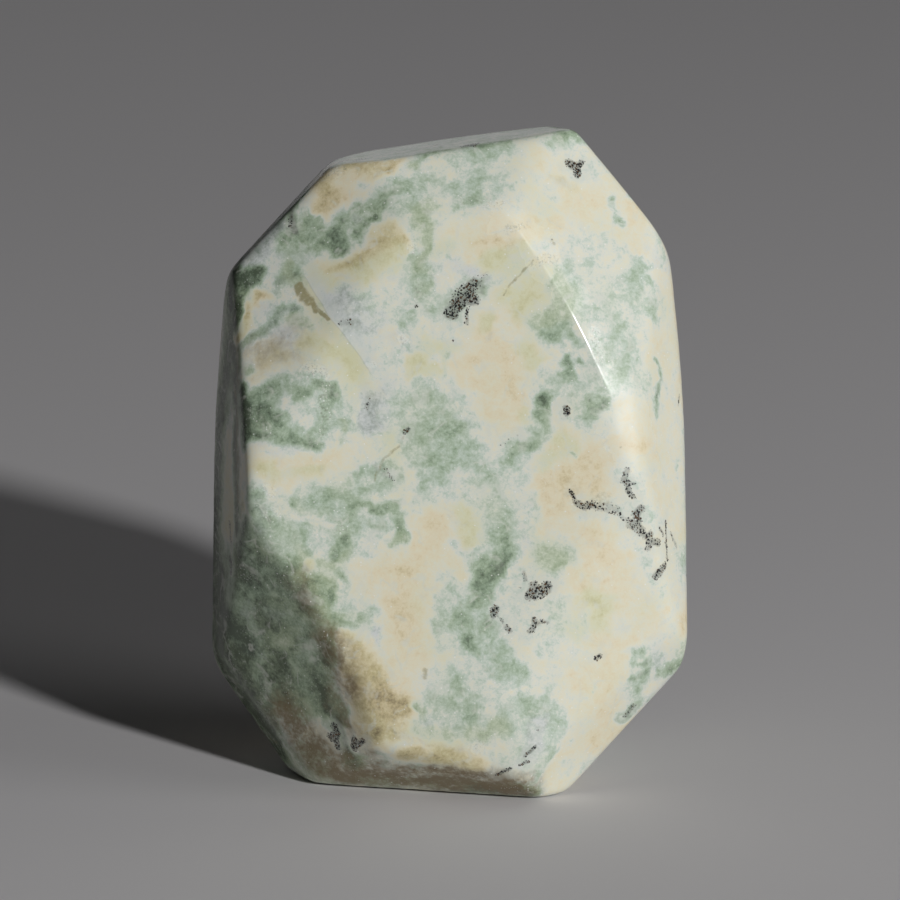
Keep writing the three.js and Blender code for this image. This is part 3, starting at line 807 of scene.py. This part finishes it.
def cut_finer(block, chosen, cuts):
    """Cuts the cells around the chosen vertices into finer ones."""
    block.verts.ensure_lookup_table()
    faces = {face for index in chosen for face in block.verts[index].link_faces}
    block.edges.index_update()
    edges = {edge for face in faces for edge in face.edges}
    edges = sorted(edges, key=lambda edge: edge.index)
    bmesh.ops.subdivide_edges(block, edges=edges, cuts=cuts, use_grid_fill=True)


def move_vertices(block, places):
    """Moves the block's vertices to the given places in mm."""
    for vert, place in zip(block.verts, places):
        vert.co = Vector(place) * MM


def ramp(values, low, high):
    """0 below low, 1 above high, and a smooth rise between."""
    share = np.clip((values - low) / (high - low), 0, 1)
    return share * share * (3 - 2 * share)


def cloud(places, lump, offset):
    """Soft random values between about -1 and 1, in lumps of the given size."""
    shifted = places / lump + offset
    return np.array([noise.fractal(Vector(place), 1.0, 2.0, 3) for place in shifted])


def warped(places, lump, strength, offset):
    """The places moved about at random, to give every mark a natural outline."""
    shifted = places / lump + offset
    moves = np.array([noise.noise_vector(Vector(place)) for place in shifted])
    return places + strength * moves


def soft_depth(depths, turn):
    """How far a place lies outside the softly rounded body, and each facet's share in that."""
    deepest = depths.max(1)
    weight = np.exp((depths - deepest[:, None]) * turn)
    total = weight.sum(1)
    return deepest + np.log(total) / turn, weight / total[:, None]


class Facets:
    """The stone's flat facets, and how to grind a block down to them."""

    def __init__(self, node):
        self.directions, self.distances = facet_planes(node)
        self.middle = np.array(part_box("stone")).mean(0) / MM
        self.table = self.nearest(FRONT_TABLE)
        self.slopes = [self.nearest(slope) for slope in RIGHT_SLOPES]
        self.distances[self.slopes] -= RIGHT_SLOPE_TRIM
        self.distances[[self.nearest(rim) for rim in UPPER_RIMS]] += RIM_GROWTH

    def nearest(self, facet):
        """The index of the facet that faces nearest to the given turn and rise."""
        turn, rise = np.radians(facet)
        level = math.cos(rise)
        facing = (math.sin(turn) * level, -math.cos(turn) * level, math.sin(rise))
        return int(np.argmax(self.directions @ facing))

    def depths(self, places):
        """How far each place lies outside each facet's plane."""
        return places @ self.directions.T - self.distances

    def without(self, depths, facets):
        """The depths with some facets taken far away."""
        depths = depths.copy()
        depths[:, facets] = FAR_INSIDE
        return depths

    def outside(self, depths):
        """Depth outside the body, with all edges soft except the crisp one."""
        left, left_share = soft_depth(self.without(depths, self.slopes), SOFT_EDGE)
        right, right_share = soft_depth(self.without(depths, [self.table]), SOFT_EDGE)
        crisp, side = soft_depth(np.stack((left, right), 1), CRISP_EDGE)
        crisp_share = side[:, :1] * left_share + side[:, 1:] * right_share
        soft, soft_share = soft_depth(depths, SOFT_EDGE)
        part = self.crisp_part[:, None]
        outside = soft + self.crisp_part * (crisp - math.log(2) / CRISP_EDGE - soft)
        return outside, soft_share + part * (crisp_share - soft_share)

    def grind(self, block):
        """Moves each vertex of the block onto the stone's surface. Gives the places in mm and
        their outward directions."""
        starts = np.array([vert.co for vert in block.verts]) / MM
        rays = starts - self.middle
        closing = rays @ self.directions.T
        gaps = self.distances - self.directions @ self.middle
        reach = (gaps / np.maximum(closing, LEAST_CLOSING)).min(1)
        height = self.middle[2] + reach * rays[:, 2]
        self.crisp_part = ramp(height, *CRISP_STARTS) * (1 - ramp(height, *CRISP_ENDS))
        for _ in range(GRINDING_STEPS):
            outside, share = self.outside(reach[:, None] * closing - gaps)
            reach -= outside / (share * closing).sum(1)
        outward = share @ self.directions
        outward /= np.linalg.norm(outward, axis=1)[:, None]
        places = self.middle + reach[:, None] * rays
        move_vertices(block, places)
        return places, outward

    def by_crisp_edge(self, places):
        """Indices of the places beside the crisp edge."""
        depths = self.depths(places)
        table = depths[:, self.table]
        slope = depths[:, self.slopes].max(1)
        outer = (table > -NEAR_SURFACE) & (slope > -NEAR_SURFACE)
        return np.nonzero(outer & (abs(table - slope) < NEAR_CRISP_EDGE))[0]


def far_from(places, path):
    """How far each place lies from a path, in mm."""
    nearest = np.linalg.norm(places - path[0], axis=1)
    for start, end in zip(path, path[1:]):
        off, _ = off_stretch(places, start, end)
        nearest = np.minimum(nearest, np.linalg.norm(off, axis=1))
    return nearest


def off_stretch(places, start, end):
    """From the nearest point of a straight stretch to each place, and the stretch's vector."""
    along = end - start
    share = np.clip((places - start) @ along / (along @ along), 0, 1)
    return places - start - share[:, None] * along, along


def cover(places, path, half_width, softness):
    """Which places a mark covers, and how fully. Its edge is soft by that share of its width."""
    path = np.array(path)
    reach = half_width * (1 + softness)
    near = ((places > path.min(0) - reach) & (places < path.max(0) + reach)).all(1)
    near = np.nonzero(near)[0]
    gap = far_from(places[near], path) / half_width
    return near, 1 - ramp(gap, 1 - softness, 1 + softness)


class Surface:
    """The stone's surface, for finding places on it."""

    def __init__(self, block):
        self.tree = BVHTree.FromBMesh(block)
        self.chance = random.Random(MARKS_SEED)

    def seen(self, across, up):
        """The place that the camera sees at that point of the picture, in mm."""
        aim = PICTURE_MIDDLE + across * ACROSS + up * UPWARDS
        start = Vector(CAMERA_PLACE * MM)
        hit, _, _, _ = self.tree.ray_cast(start, (Vector(aim * MM) - start).normalized())
        if hit is None:
            hit = self.tree.find_nearest(Vector(aim * MM))[0]
        return np.array(hit) / MM

    def path(self, points):
        """The places that the camera sees at these points of the picture."""
        return [self.seen(*point) for point in points]

    def wander(self, start, steps, stride):
        """A path that wanders over the surface."""
        path = [start]
        for _ in range(steps):
            step = Vector([self.chance.gauss(0, stride) for _ in range(3)])
            nearest = self.tree.find_nearest((Vector(path[-1]) + step) * MM)[0]
            path.append(np.array(nearest) / MM)
        return path


def by_spots(surface, places):
    """Indices of the places in and around the front's small spots and stains."""
    around = set()
    for _, half_width, *points in FRONT_SPOTS + FRONT_STAINS:
        if half_width < WIDEST_FINE_MARK:
            path = surface.path(points)
            near, share = cover(places, path, half_width + FINE_MARGIN, FINE_SOFTNESS)
            around.update(near[share > 0].tolist())
    return sorted(around)


def beside_crack(places, path):
    """How far each place lies above the crack, in mm, with minus below it, and how much the
    crack still shows there."""
    path = np.array(path)
    above = np.zeros(len(places))
    nearest = np.full(len(places), np.inf)
    for start, end in zip(path, path[1:]):
        off, along = off_stretch(places, start, end)
        side = off @ np.cross(TOWARDS, along / np.linalg.norm(along))
        distance = np.linalg.norm(off, axis=1)
        closer = distance < nearest
        nearest[closer] = distance[closer]
        above[closer] = side[closer]
    ends = np.minimum(far_from(places, path[:1]), far_from(places, path[-1:]))
    shows = (1 - ramp(nearest, *CRACK_FADES_ASIDE)) * ramp(ends, *CRACK_FADES_AT_ENDS)
    return np.clip(above, -1, 1), shows


def lay_patch(layers, places, stuff, path, half_width):
    """Lays a patch of one stuff over what the layers hold."""
    near, share = cover(places, path, half_width, PATCH_SOFTNESS)
    for layer, value in zip(layers, STUFFS[stuff]):
        layer[near] += share * (value - layer[near])


def lay_spot(layer, places, strength, path, half_width, softness=SPOT_SOFTNESS):
    """Raises one layer to the given strength along a path."""
    near, share = cover(places, path, half_width, softness)
    layer[near] = np.maximum(layer[near], strength * share)


def unseen_patches(surface, hidden, places):
    """Patches for the sides and back, in the same manner as the front's."""
    chance = surface.chance
    patches = []
    for size, count in UNSEEN_SIZES:
        for _ in range(count):
            start = places[chance.choice(hidden)]
            stuff = chance.choice(OFTEN if chance.random() < OFTEN_SHARE else SELDOM)
            path = surface.wander(start, chance.randint(1, 4), 0.7 * size)
            patches.append((stuff, size * chance.uniform(0.5, 0.9), path))
    return patches


def lay_unseen_spots(layer, number, size, surface, hidden, places, fine):
    """Small spots for the sides and back."""
    chance = surface.chance
    for _ in range(number):
        start = places[chance.choice(hidden)]
        path = surface.wander(start, chance.randint(1, 4), 0.5)
        half_width = size * chance.uniform(0.5, 1.2)
        lay_spot(layer, fine, chance.uniform(0.6, 1.0), path, half_width)


def lay_stuffs(surface, hidden, wavy, places, outward):
    """The mottled stone, as layers of tone, lime tint and grey."""
    tone = -0.12 + 0.4 * cloud(places, 2.4, 11.0)
    lime = np.full(len(places), 0.35) + 0.3 * cloud(places, 5.0, 21.0)
    grey = np.zeros(len(places))
    layers = (tone, lime, grey)
    for stuff, half_width, path in unseen_patches(surface, hidden, places):
        lay_patch(layers, wavy, stuff, path, half_width)
    for stuff, half_width, *points in FRONT_PATCHES:
        lay_patch(layers, wavy, stuff, surface.path(points), half_width)
    tone += 0.15 * cloud(places, 0.9, 31.0)
    # Painted light: the facets that face up are painted pale green, for their lit tops.
    top = 0.85 * ramp(outward[:, 2], *PAINTED_TOP_LIGHT_FACES_UP)
    for layer, value in zip(layers, STUFFS["pale green"]):
        layer += top * (value - layer)
    return layers


def mark_stone(block, places, outward):
    """The stone's markings, one value for each vertex in every layer."""
    surface = Surface(block)
    hidden = np.nonzero(outward @ TOWARDS < FACES_CAMERA)[0]
    wavy = places
    for outline in WAVY_OUTLINES:
        wavy = warped(wavy, *outline)
    fine = warped(places, *FINE_OUTLINE)
    names = ("brown", "spots", "stains", "grainy", "dull", "halo")
    layers = {name: np.zeros(len(places)) for name in names}
    stuffs = lay_stuffs(surface, hidden, wavy, places, outward)
    layers["tone"], layers["lime"], layers["grey"] = stuffs

    small = {"spots": FRONT_SPOTS, "stains": FRONT_STAINS, "grainy": FRONT_GRAINY}
    for name, marks in small.items():
        for strength, half_width, *points in marks:
            lay_spot(layers[name], fine, strength, surface.path(points), half_width)
    # Brown in the stone with brown painted shade, and the less polished places, as soft washes.
    for name, marks in (("brown", FRONT_BROWN_AND_PAINTED_SHADE), ("dull", FRONT_DULL)):
        for strength, half_width, *points in marks:
            path = surface.path(points)
            lay_spot(layers[name], wavy, strength, path, half_width, WASH_SOFTNESS)
    for name, number, size in UNSEEN_SPOTS:
        lay_unseen_spots(layers[name], number, size, surface, hidden, places, fine)
    for strength, half_width, *points in FRONT_SPOTS:
        path = surface.path(points)
        lay_spot(layers["halo"], wavy, min(strength, 1), path, half_width + HALO_WIDTH)
    by_crack = beside_crack(warped(places, *CRACK_OUTLINE), surface.path(CRACK))
    layers["above_crack"], layers["crack"] = by_crack
    return layers


def make_stone():
    """The stone: a block of cells, ground down to the CAD stone's facets, and marked."""
    facets = Facets(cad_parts["stone"])
    block = block_of_cells(*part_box("stone"))
    places, outward = facets.grind(block)
    cut_finer(block, np.nonzero(outward @ TOWARDS > FACES_CAMERA)[0], 1)
    places, outward = facets.grind(block)
    cut_finer(block, by_spots(Surface(block), places), 1)
    places, outward = facets.grind(block)
    cut_finer(block, facets.by_crisp_edge(places), 2)
    places, outward = facets.grind(block)
    waves = sum(height * cloud(places, lump, offset) for height, lump, offset in POLISH_WAVES)
    places += outward * waves[:, None]
    places[:, 2] = np.maximum(places[:, 2], 0)
    move_vertices(block, places)
    for face in block.faces:
        face.smooth = True
    layers = mark_stone(block, places, outward)
    mesh = bpy.data.meshes.new("stone")
    block.to_mesh(mesh)
    block.free()
    for name, values in layers.items():
        layer = mesh.attributes.new(name, "FLOAT", "POINT")
        layer.data.foreach_set("value", values.astype(np.float32))
    stone = bpy.data.objects.new("polished_stone", mesh)
    bpy.context.scene.collection.objects.link(stone)
    return stone


class Shader:
    """Adds nodes to one material and joins them."""

    def __init__(self, name):
        self.material = bpy.data.materials.new(name)
        self.material.use_nodes = True
        self.tree = self.material.node_tree
        self.surface = self.tree.nodes["Principled BSDF"]

    def add(self, kind, inputs=(), **settings):
        """A new node, with values or links for its inputs."""
        node = self.tree.nodes.new(kind)
        for setting, value in settings.items():
            setattr(node, setting, value)
        for key, value in dict(inputs).items():
            self.put(node.inputs[key], value)
        return node

    def put(self, socket, value):
        """Gives the socket a value, or a link where the value is another node's output."""
        if isinstance(value, bpy.types.NodeSocket):
            self.tree.links.new(value, socket)
        else:
            socket.default_value = value

    def layer(self, name):
        """One layer of the markings."""
        return self.add("ShaderNodeAttribute", attribute_name=name).outputs["Fac"]

    def work(self, operation, first, second=0.0):
        """One step of arithmetic."""
        node = self.add("ShaderNodeMath", operation=operation)
        self.put(node.inputs[0], first)
        self.put(node.inputs[1], second)
        return node.outputs[0]

    def sum(self, first, *more):
        for term in more:
            first = self.work("ADD", first, term)
        return first

    def times(self, first, *more):
        for factor in more:
            first = self.work("MULTIPLY", first, factor)
        return first

    def less(self, first, second):
        return self.work("SUBTRACT", first, second)

    def between(self, value, low, high):
        """0 at low, 1 at high, and a smooth change between."""
        node = self.add("ShaderNodeMapRange", interpolation_type="SMOOTHSTEP")
        for key, number in (("Value", value), ("From Min", low), ("From Max", high)):
            self.put(node.inputs[key], number)
        return node.outputs["Result"]

    def moved(self, shift):
        """Places on the object, moved aside so that no two patterns match."""
        places = self.add("ShaderNodeTexCoord").outputs["Object"]
        node = self.add("ShaderNodeMapping", {"Vector": places})
        node.inputs["Location"].default_value = (shift * MM, 2 * shift * MM, 0)
        return node.outputs["Vector"]

    def cloud(self, name):
        """Soft random values around 0."""
        lump, detail, roughness, distortion, shift = CLOUDS[name]
        node = self.add(
            "ShaderNodeTexNoise",
            {
                "Vector": self.moved(shift),
                "Scale": 1 / (lump * MM),
                "Detail": detail,
                "Roughness": roughness,
                "Distortion": distortion,
            },
        )
        return self.less(node.outputs["Fac"], 0.5)

    def grains(self, name):
        """The distance from the middle of the nearest grain, as a share of the grains' size,
        and a random number between 0 and 1 for each grain."""
        size, shift = GRAINS[name]
        node = self.add(
            "ShaderNodeTexVoronoi", {"Vector": self.moved(shift), "Scale": 1 / (size * MM)}
        )
        chance = self.add("ShaderNodeSeparateColor", {"Color": node.outputs["Color"]})
        return node.outputs["Distance"], chance.outputs["Red"]

    def mix(self, share, first, second):
        """The first colour, with that share of the second."""
        node = self.add("ShaderNodeMix", data_type="RGBA")
        self.put(node.inputs["Factor"], share)
        self.put(node.inputs["A"], first)
        self.put(node.inputs["B"], second)
        return node.outputs["Result"]

    def tint(self, colour, name, share):
        """The colour, mixed with that share of a named one."""
        return self.mix(share, colour, COLOURS[name])

    def colours(self, value, stops, low, high):
        """A run of colours along a value between low and high."""
        share = self.add("ShaderNodeMapRange", {"Value": value, "From Min": low, "From Max": high})
        node = self.add("ShaderNodeValToRGB", {"Fac": share.outputs["Result"]})
        elements = node.color_ramp.elements
        while len(elements) < len(stops):
            elements.new(0.5)
        for element, (position, colour) in zip(elements, stops):
            element.position = (position - low) / (high - low)
            element.color = (*colour, 1)
        return node.outputs["Color"]


def mottled_stone(shader, tone):
    """Cream, white, lime and green stone along the tone, with grey in places."""
    times = shader.times
    lime = shader.sum(shader.layer("lime"), shader.cloud("lime drift"))
    colour = shader.mix(
        shader.between(lime, 0, 1),
        shader.colours(tone, PEACH_RUN, -2.2, 1.5),
        shader.colours(tone, LIME_RUN, -2.2, 1.5),
    )
    grey = shader.sum(shader.layer("grey"), times(shader.cloud("grey drift"), 1.2))
    grey_stone = shader.colours(tone, GREY_RUN, -1.5, 1.5)
    return shader.mix(times(shader.between(grey, 0.15, 1.0), 0.9), colour, grey_stone)


def white_filaments(shader, colour):
    """White lines where a cloud passes through zero, broken up by gaps."""
    away = shader.work("ABSOLUTE", shader.cloud("filaments"))
    lines = shader.between(away, 0.05, 0.0)
    broken = shader.between(shader.cloud("filament gaps"), -0.05, 0.15)
    return shader.tint(colour, "filament", shader.times(lines, broken, 0.55))


def brown_stone_and_painted_shade(shader, colour):
    """Mottled brown in the stone at the lower left, and brown painted shade at the foot and on a
    ridge.
    """
    times = shader.times
    mottle = shader.sum(
        1.0,
        times(shader.cloud("brown mottle"), 2.2),
        times(shader.cloud("fine brown mottle"), 1.6),
    )
    brown = times(shader.layer("brown"), mottle)
    return shader.tint(colour, "brown stone and painted shade", times(shader.between(brown, 0.0, 1.5), 0.95))


def healed_crack(shader, colour):
    """Smoky stone above the crack and lime stone below it. Gives the colour, the thin line
    of the crack, and the smoky side."""
    times = shader.times
    above_crack = shader.layer("above_crack")
    crack = shader.layer("crack")
    smoky = times(crack, shader.between(above_crack, -0.03, 0.05))
    colour = shader.tint(colour, "smoky stone", times(smoky, 0.5))
    below = times(crack, shader.between(above_crack, 0.03, -0.05))
    colour = shader.tint(colour, "lime stone", times(below, 0.45))
    line = times(shader.between(shader.work("ABSOLUTE", above_crack), 0.06, 0.015), crack)
    return shader.tint(colour, "crack line", times(line, 0.2)), line, smoky


def olive_stains(shader, colour, smoky):
    """Rusty and olive stains, which stop at the smoky side of the crack."""
    times = shader.times
    stained = times(shader.layer("stains"), shader.less(1.0, smoky))
    stain = shader.sum(stained, times(shader.cloud("stain edge"), 1.6))
    return shader.tint(colour, "olive stain", times(shader.between(stain, 0.2, 1.1), 0.75))


def black_clusters(shader, colour, spots):
    """Clusters of black grains in grey smoke, with a pale halo."""
    times = shader.times
    halo = shader.sum(shader.layer("halo"), times(shader.cloud("halo edge"), 1.2))
    colour = shader.tint(colour, "halo", times(shader.between(halo, 0.3, 1.1), 0.4))
    smoke = shader.sum(spots, shader.cloud("smoke edge"))
    colour = shader.tint(colour, "smoke", times(shader.between(smoke, 0.2, 1.1), 0.6))
    for name, share in (("large black", 0.92), ("small black", 0.7)):
        strength = times(spots, share)
        distance, chance = shader.grains(name)
        # The grains touch in the middle of a cluster and thin out where its strength falls.
        present = times(
            shader.between(shader.less(strength, chance), -0.02, 0.12),
            shader.between(strength, 0.12, 0.25),
        )
        radius = shader.sum(0.3, times(strength, 0.22), shader.cloud("grain edge"))
        grain = times(present, shader.between(shader.less(radius, distance), -0.05, 0.12))
        rusty = shader.between(shader.work("FRACT", times(chance, 7.0)), 0.6, 0.9)
        black = shader.tint(COLOURS["black grain"], "rusty grain", rusty)
        colour = shader.mix(grain, colour, black)
    return colour


def pale_grains(shader, colour, tone, grainy):
    """Sugary white grains, mostly in the green stone, painted glints on grains, and pitted spots.
    """
    times = shader.times
    distance, chance = shader.grains("sugar")
    sugar = times(
        shader.between(distance, 0.5, 0.2),
        shader.between(chance, 0.72, 0.8),
        shader.between(tone, 0.0, 0.6),
        shader.between(shader.cloud("sugar drift"), -0.08, 0.12),
    )
    colour = shader.tint(colour, "sugar", times(sugar, 0.35))
    # Painted highlight: white dots for glints of light on grains, more of them in the unpolished
    # spots.
    distance, chance = shader.grains("painted_glint")
    picked = shader.between(shader.sum(chance, times(grainy, 0.45)), 0.95, 0.97)
    painted_glint = times(shader.between(distance, 0.3, 0.12), picked)
    colour = shader.tint(colour, "painted_glint", times(painted_glint, 0.8))
    pitting = times(grainy, shader.between(shader.cloud("pits"), 0.0, 0.14))
    return shader.tint(colour, "pit", times(pitting, 0.45))


def waxy_polish(shader, grainy, spots, crack_line):
    """Roughness and fine bumps, and the light that the stone lets in."""
    times = shader.times
    roughness = shader.sum(
        0.21,
        times(shader.cloud("polish"), 0.16),
        times(grainy, 0.25),
        times(shader.layer("dull"), 0.22),
    )
    height = shader.sum(
        times(shader.cloud("rough grains"), grainy),
        times(shader.cloud("faint bumps"), 0.05),
        times(crack_line, -0.15),
        times(spots, -0.1),
    )
    bump = shader.add("ShaderNodeBump", {"Height": height})
    bump.inputs["Strength"].default_value = 0.35
    bump.inputs["Distance"].default_value = 0.05 * MM
    surface = shader.surface
    shader.put(surface.inputs["Roughness"], roughness)
    shader.put(surface.inputs["Normal"], bump.outputs["Normal"])
    surface.inputs["IOR"].default_value = 1.6
    surface.inputs["Subsurface Weight"].default_value = 0.25
    surface.inputs["Subsurface Radius"].default_value = (1.0, 1.0, 0.8)
    surface.inputs["Subsurface Scale"].default_value = 0.7 * MM


def saussurite():
    """Mottled green and cream stone with a waxy polish."""
    shader = Shader("saussurite")
    tone = shader.sum(
        shader.layer("tone"),
        shader.times(shader.cloud("wide mottle"), 1.3),
        shader.times(shader.cloud("mottle"), 1.5),
        shader.times(shader.cloud("fine mottle"), 0.9),
    )
    spots = shader.layer("spots")
    grainy = shader.layer("grainy")
    colour = mottled_stone(shader, tone)
    colour = white_filaments(shader, colour)
    colour = brown_stone_and_painted_shade(shader, colour)
    colour, crack_line, smoky = healed_crack(shader, colour)
    colour = olive_stains(shader, colour, smoky)
    colour = black_clusters(shader, colour, spots)
    colour = pale_grains(shader, colour, tone, grainy)
    shader.put(shader.surface.inputs["Base Color"], colour)
    waxy_polish(shader, grainy, spots, crack_line)
    return shader.material


def pale_floor():
    """A plain pale floor, three metres wide."""
    floor_mesh = bmesh.new()
    bmesh.ops.create_grid(floor_mesh, x_segments=1, y_segments=1, size=1.5)
    mesh = bpy.data.meshes.new("floor")
    floor_mesh.to_mesh(mesh)
    floor_mesh.free()
    floor = bpy.data.objects.new("floor", mesh)
    bpy.context.scene.collection.objects.link(floor)
    shader = Shader("pale_floor")
    shader.surface.inputs["Base Color"].default_value = FLOOR_COLOUR
    shader.surface.inputs["Roughness"].default_value = 0.8
    mesh.materials.append(shader.material)


def soft_light(name, across, up, towards, away, size, power):
    """A round lamp. Its direction from the stone is given as the camera sees it."""
    lamp = bpy.data.lights.new(name, "AREA")
    lamp.shape = "DISK"
    lamp.size = size * MM
    lamp.energy = power
    direction = Vector(across * ACROSS + up * UPWARDS + towards * TOWARDS).normalized()
    holder = bpy.data.objects.new(name, lamp)
    holder.location = Vector(PICTURE_MIDDLE) * MM + direction * away * MM
    holder.rotation_euler = direction.to_track_quat("Z", "Y").to_euler()
    bpy.context.scene.collection.objects.link(holder)
    return holder


def studio_light():
    """A key lamp, a fill with no glint, a lamp behind for the rims, and a faint room light."""
    soft_light("key", 0.47, 0.23, 0.852, away=900, size=80, power=5.05)
    right_fill = soft_light("right_fill", 0.88, 0.30, 0.37, away=700, size=400, power=0.8)
    right_fill.visible_glossy = False
    back_light = soft_light("back_light", -0.12, 0.42, -0.90, away=900, size=400, power=0.17)
    back_light.visible_camera = False
    world = bpy.data.worlds.new("studio")
    world.use_nodes = True
    background = world.node_tree.nodes["Background"]
    background.inputs["Color"].default_value = ROOM_COLOUR
    background.inputs["Strength"].default_value = 0.015
    bpy.context.scene.world = world


def front_camera():
    """A camera with a long lens, which sees the front from a little above."""
    camera = bpy.data.cameras.new("camera")
    camera.sensor_width = 36
    camera.lens = camera.sensor_width * CAMERA_AWAY / PICTURE_WIDTH
    camera.clip_start = 0.01
    holder = bpy.data.objects.new("camera", camera)
    holder.location = Vector(CAMERA_PLACE) * MM
    holder.rotation_euler = (math.pi / 2 - CAMERA_RISE, 0, 0)
    bpy.context.scene.collection.objects.link(holder)
    bpy.context.scene.camera = holder


noise.seed_set(NOISE_SEED)
stone = make_stone()
stone.data.materials.append(saussurite())
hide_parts("stone")
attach(stone, "root")

pale_floor()
studio_light()
front_camera()
bpy.context.scene.view_settings.view_transform = "Standard"
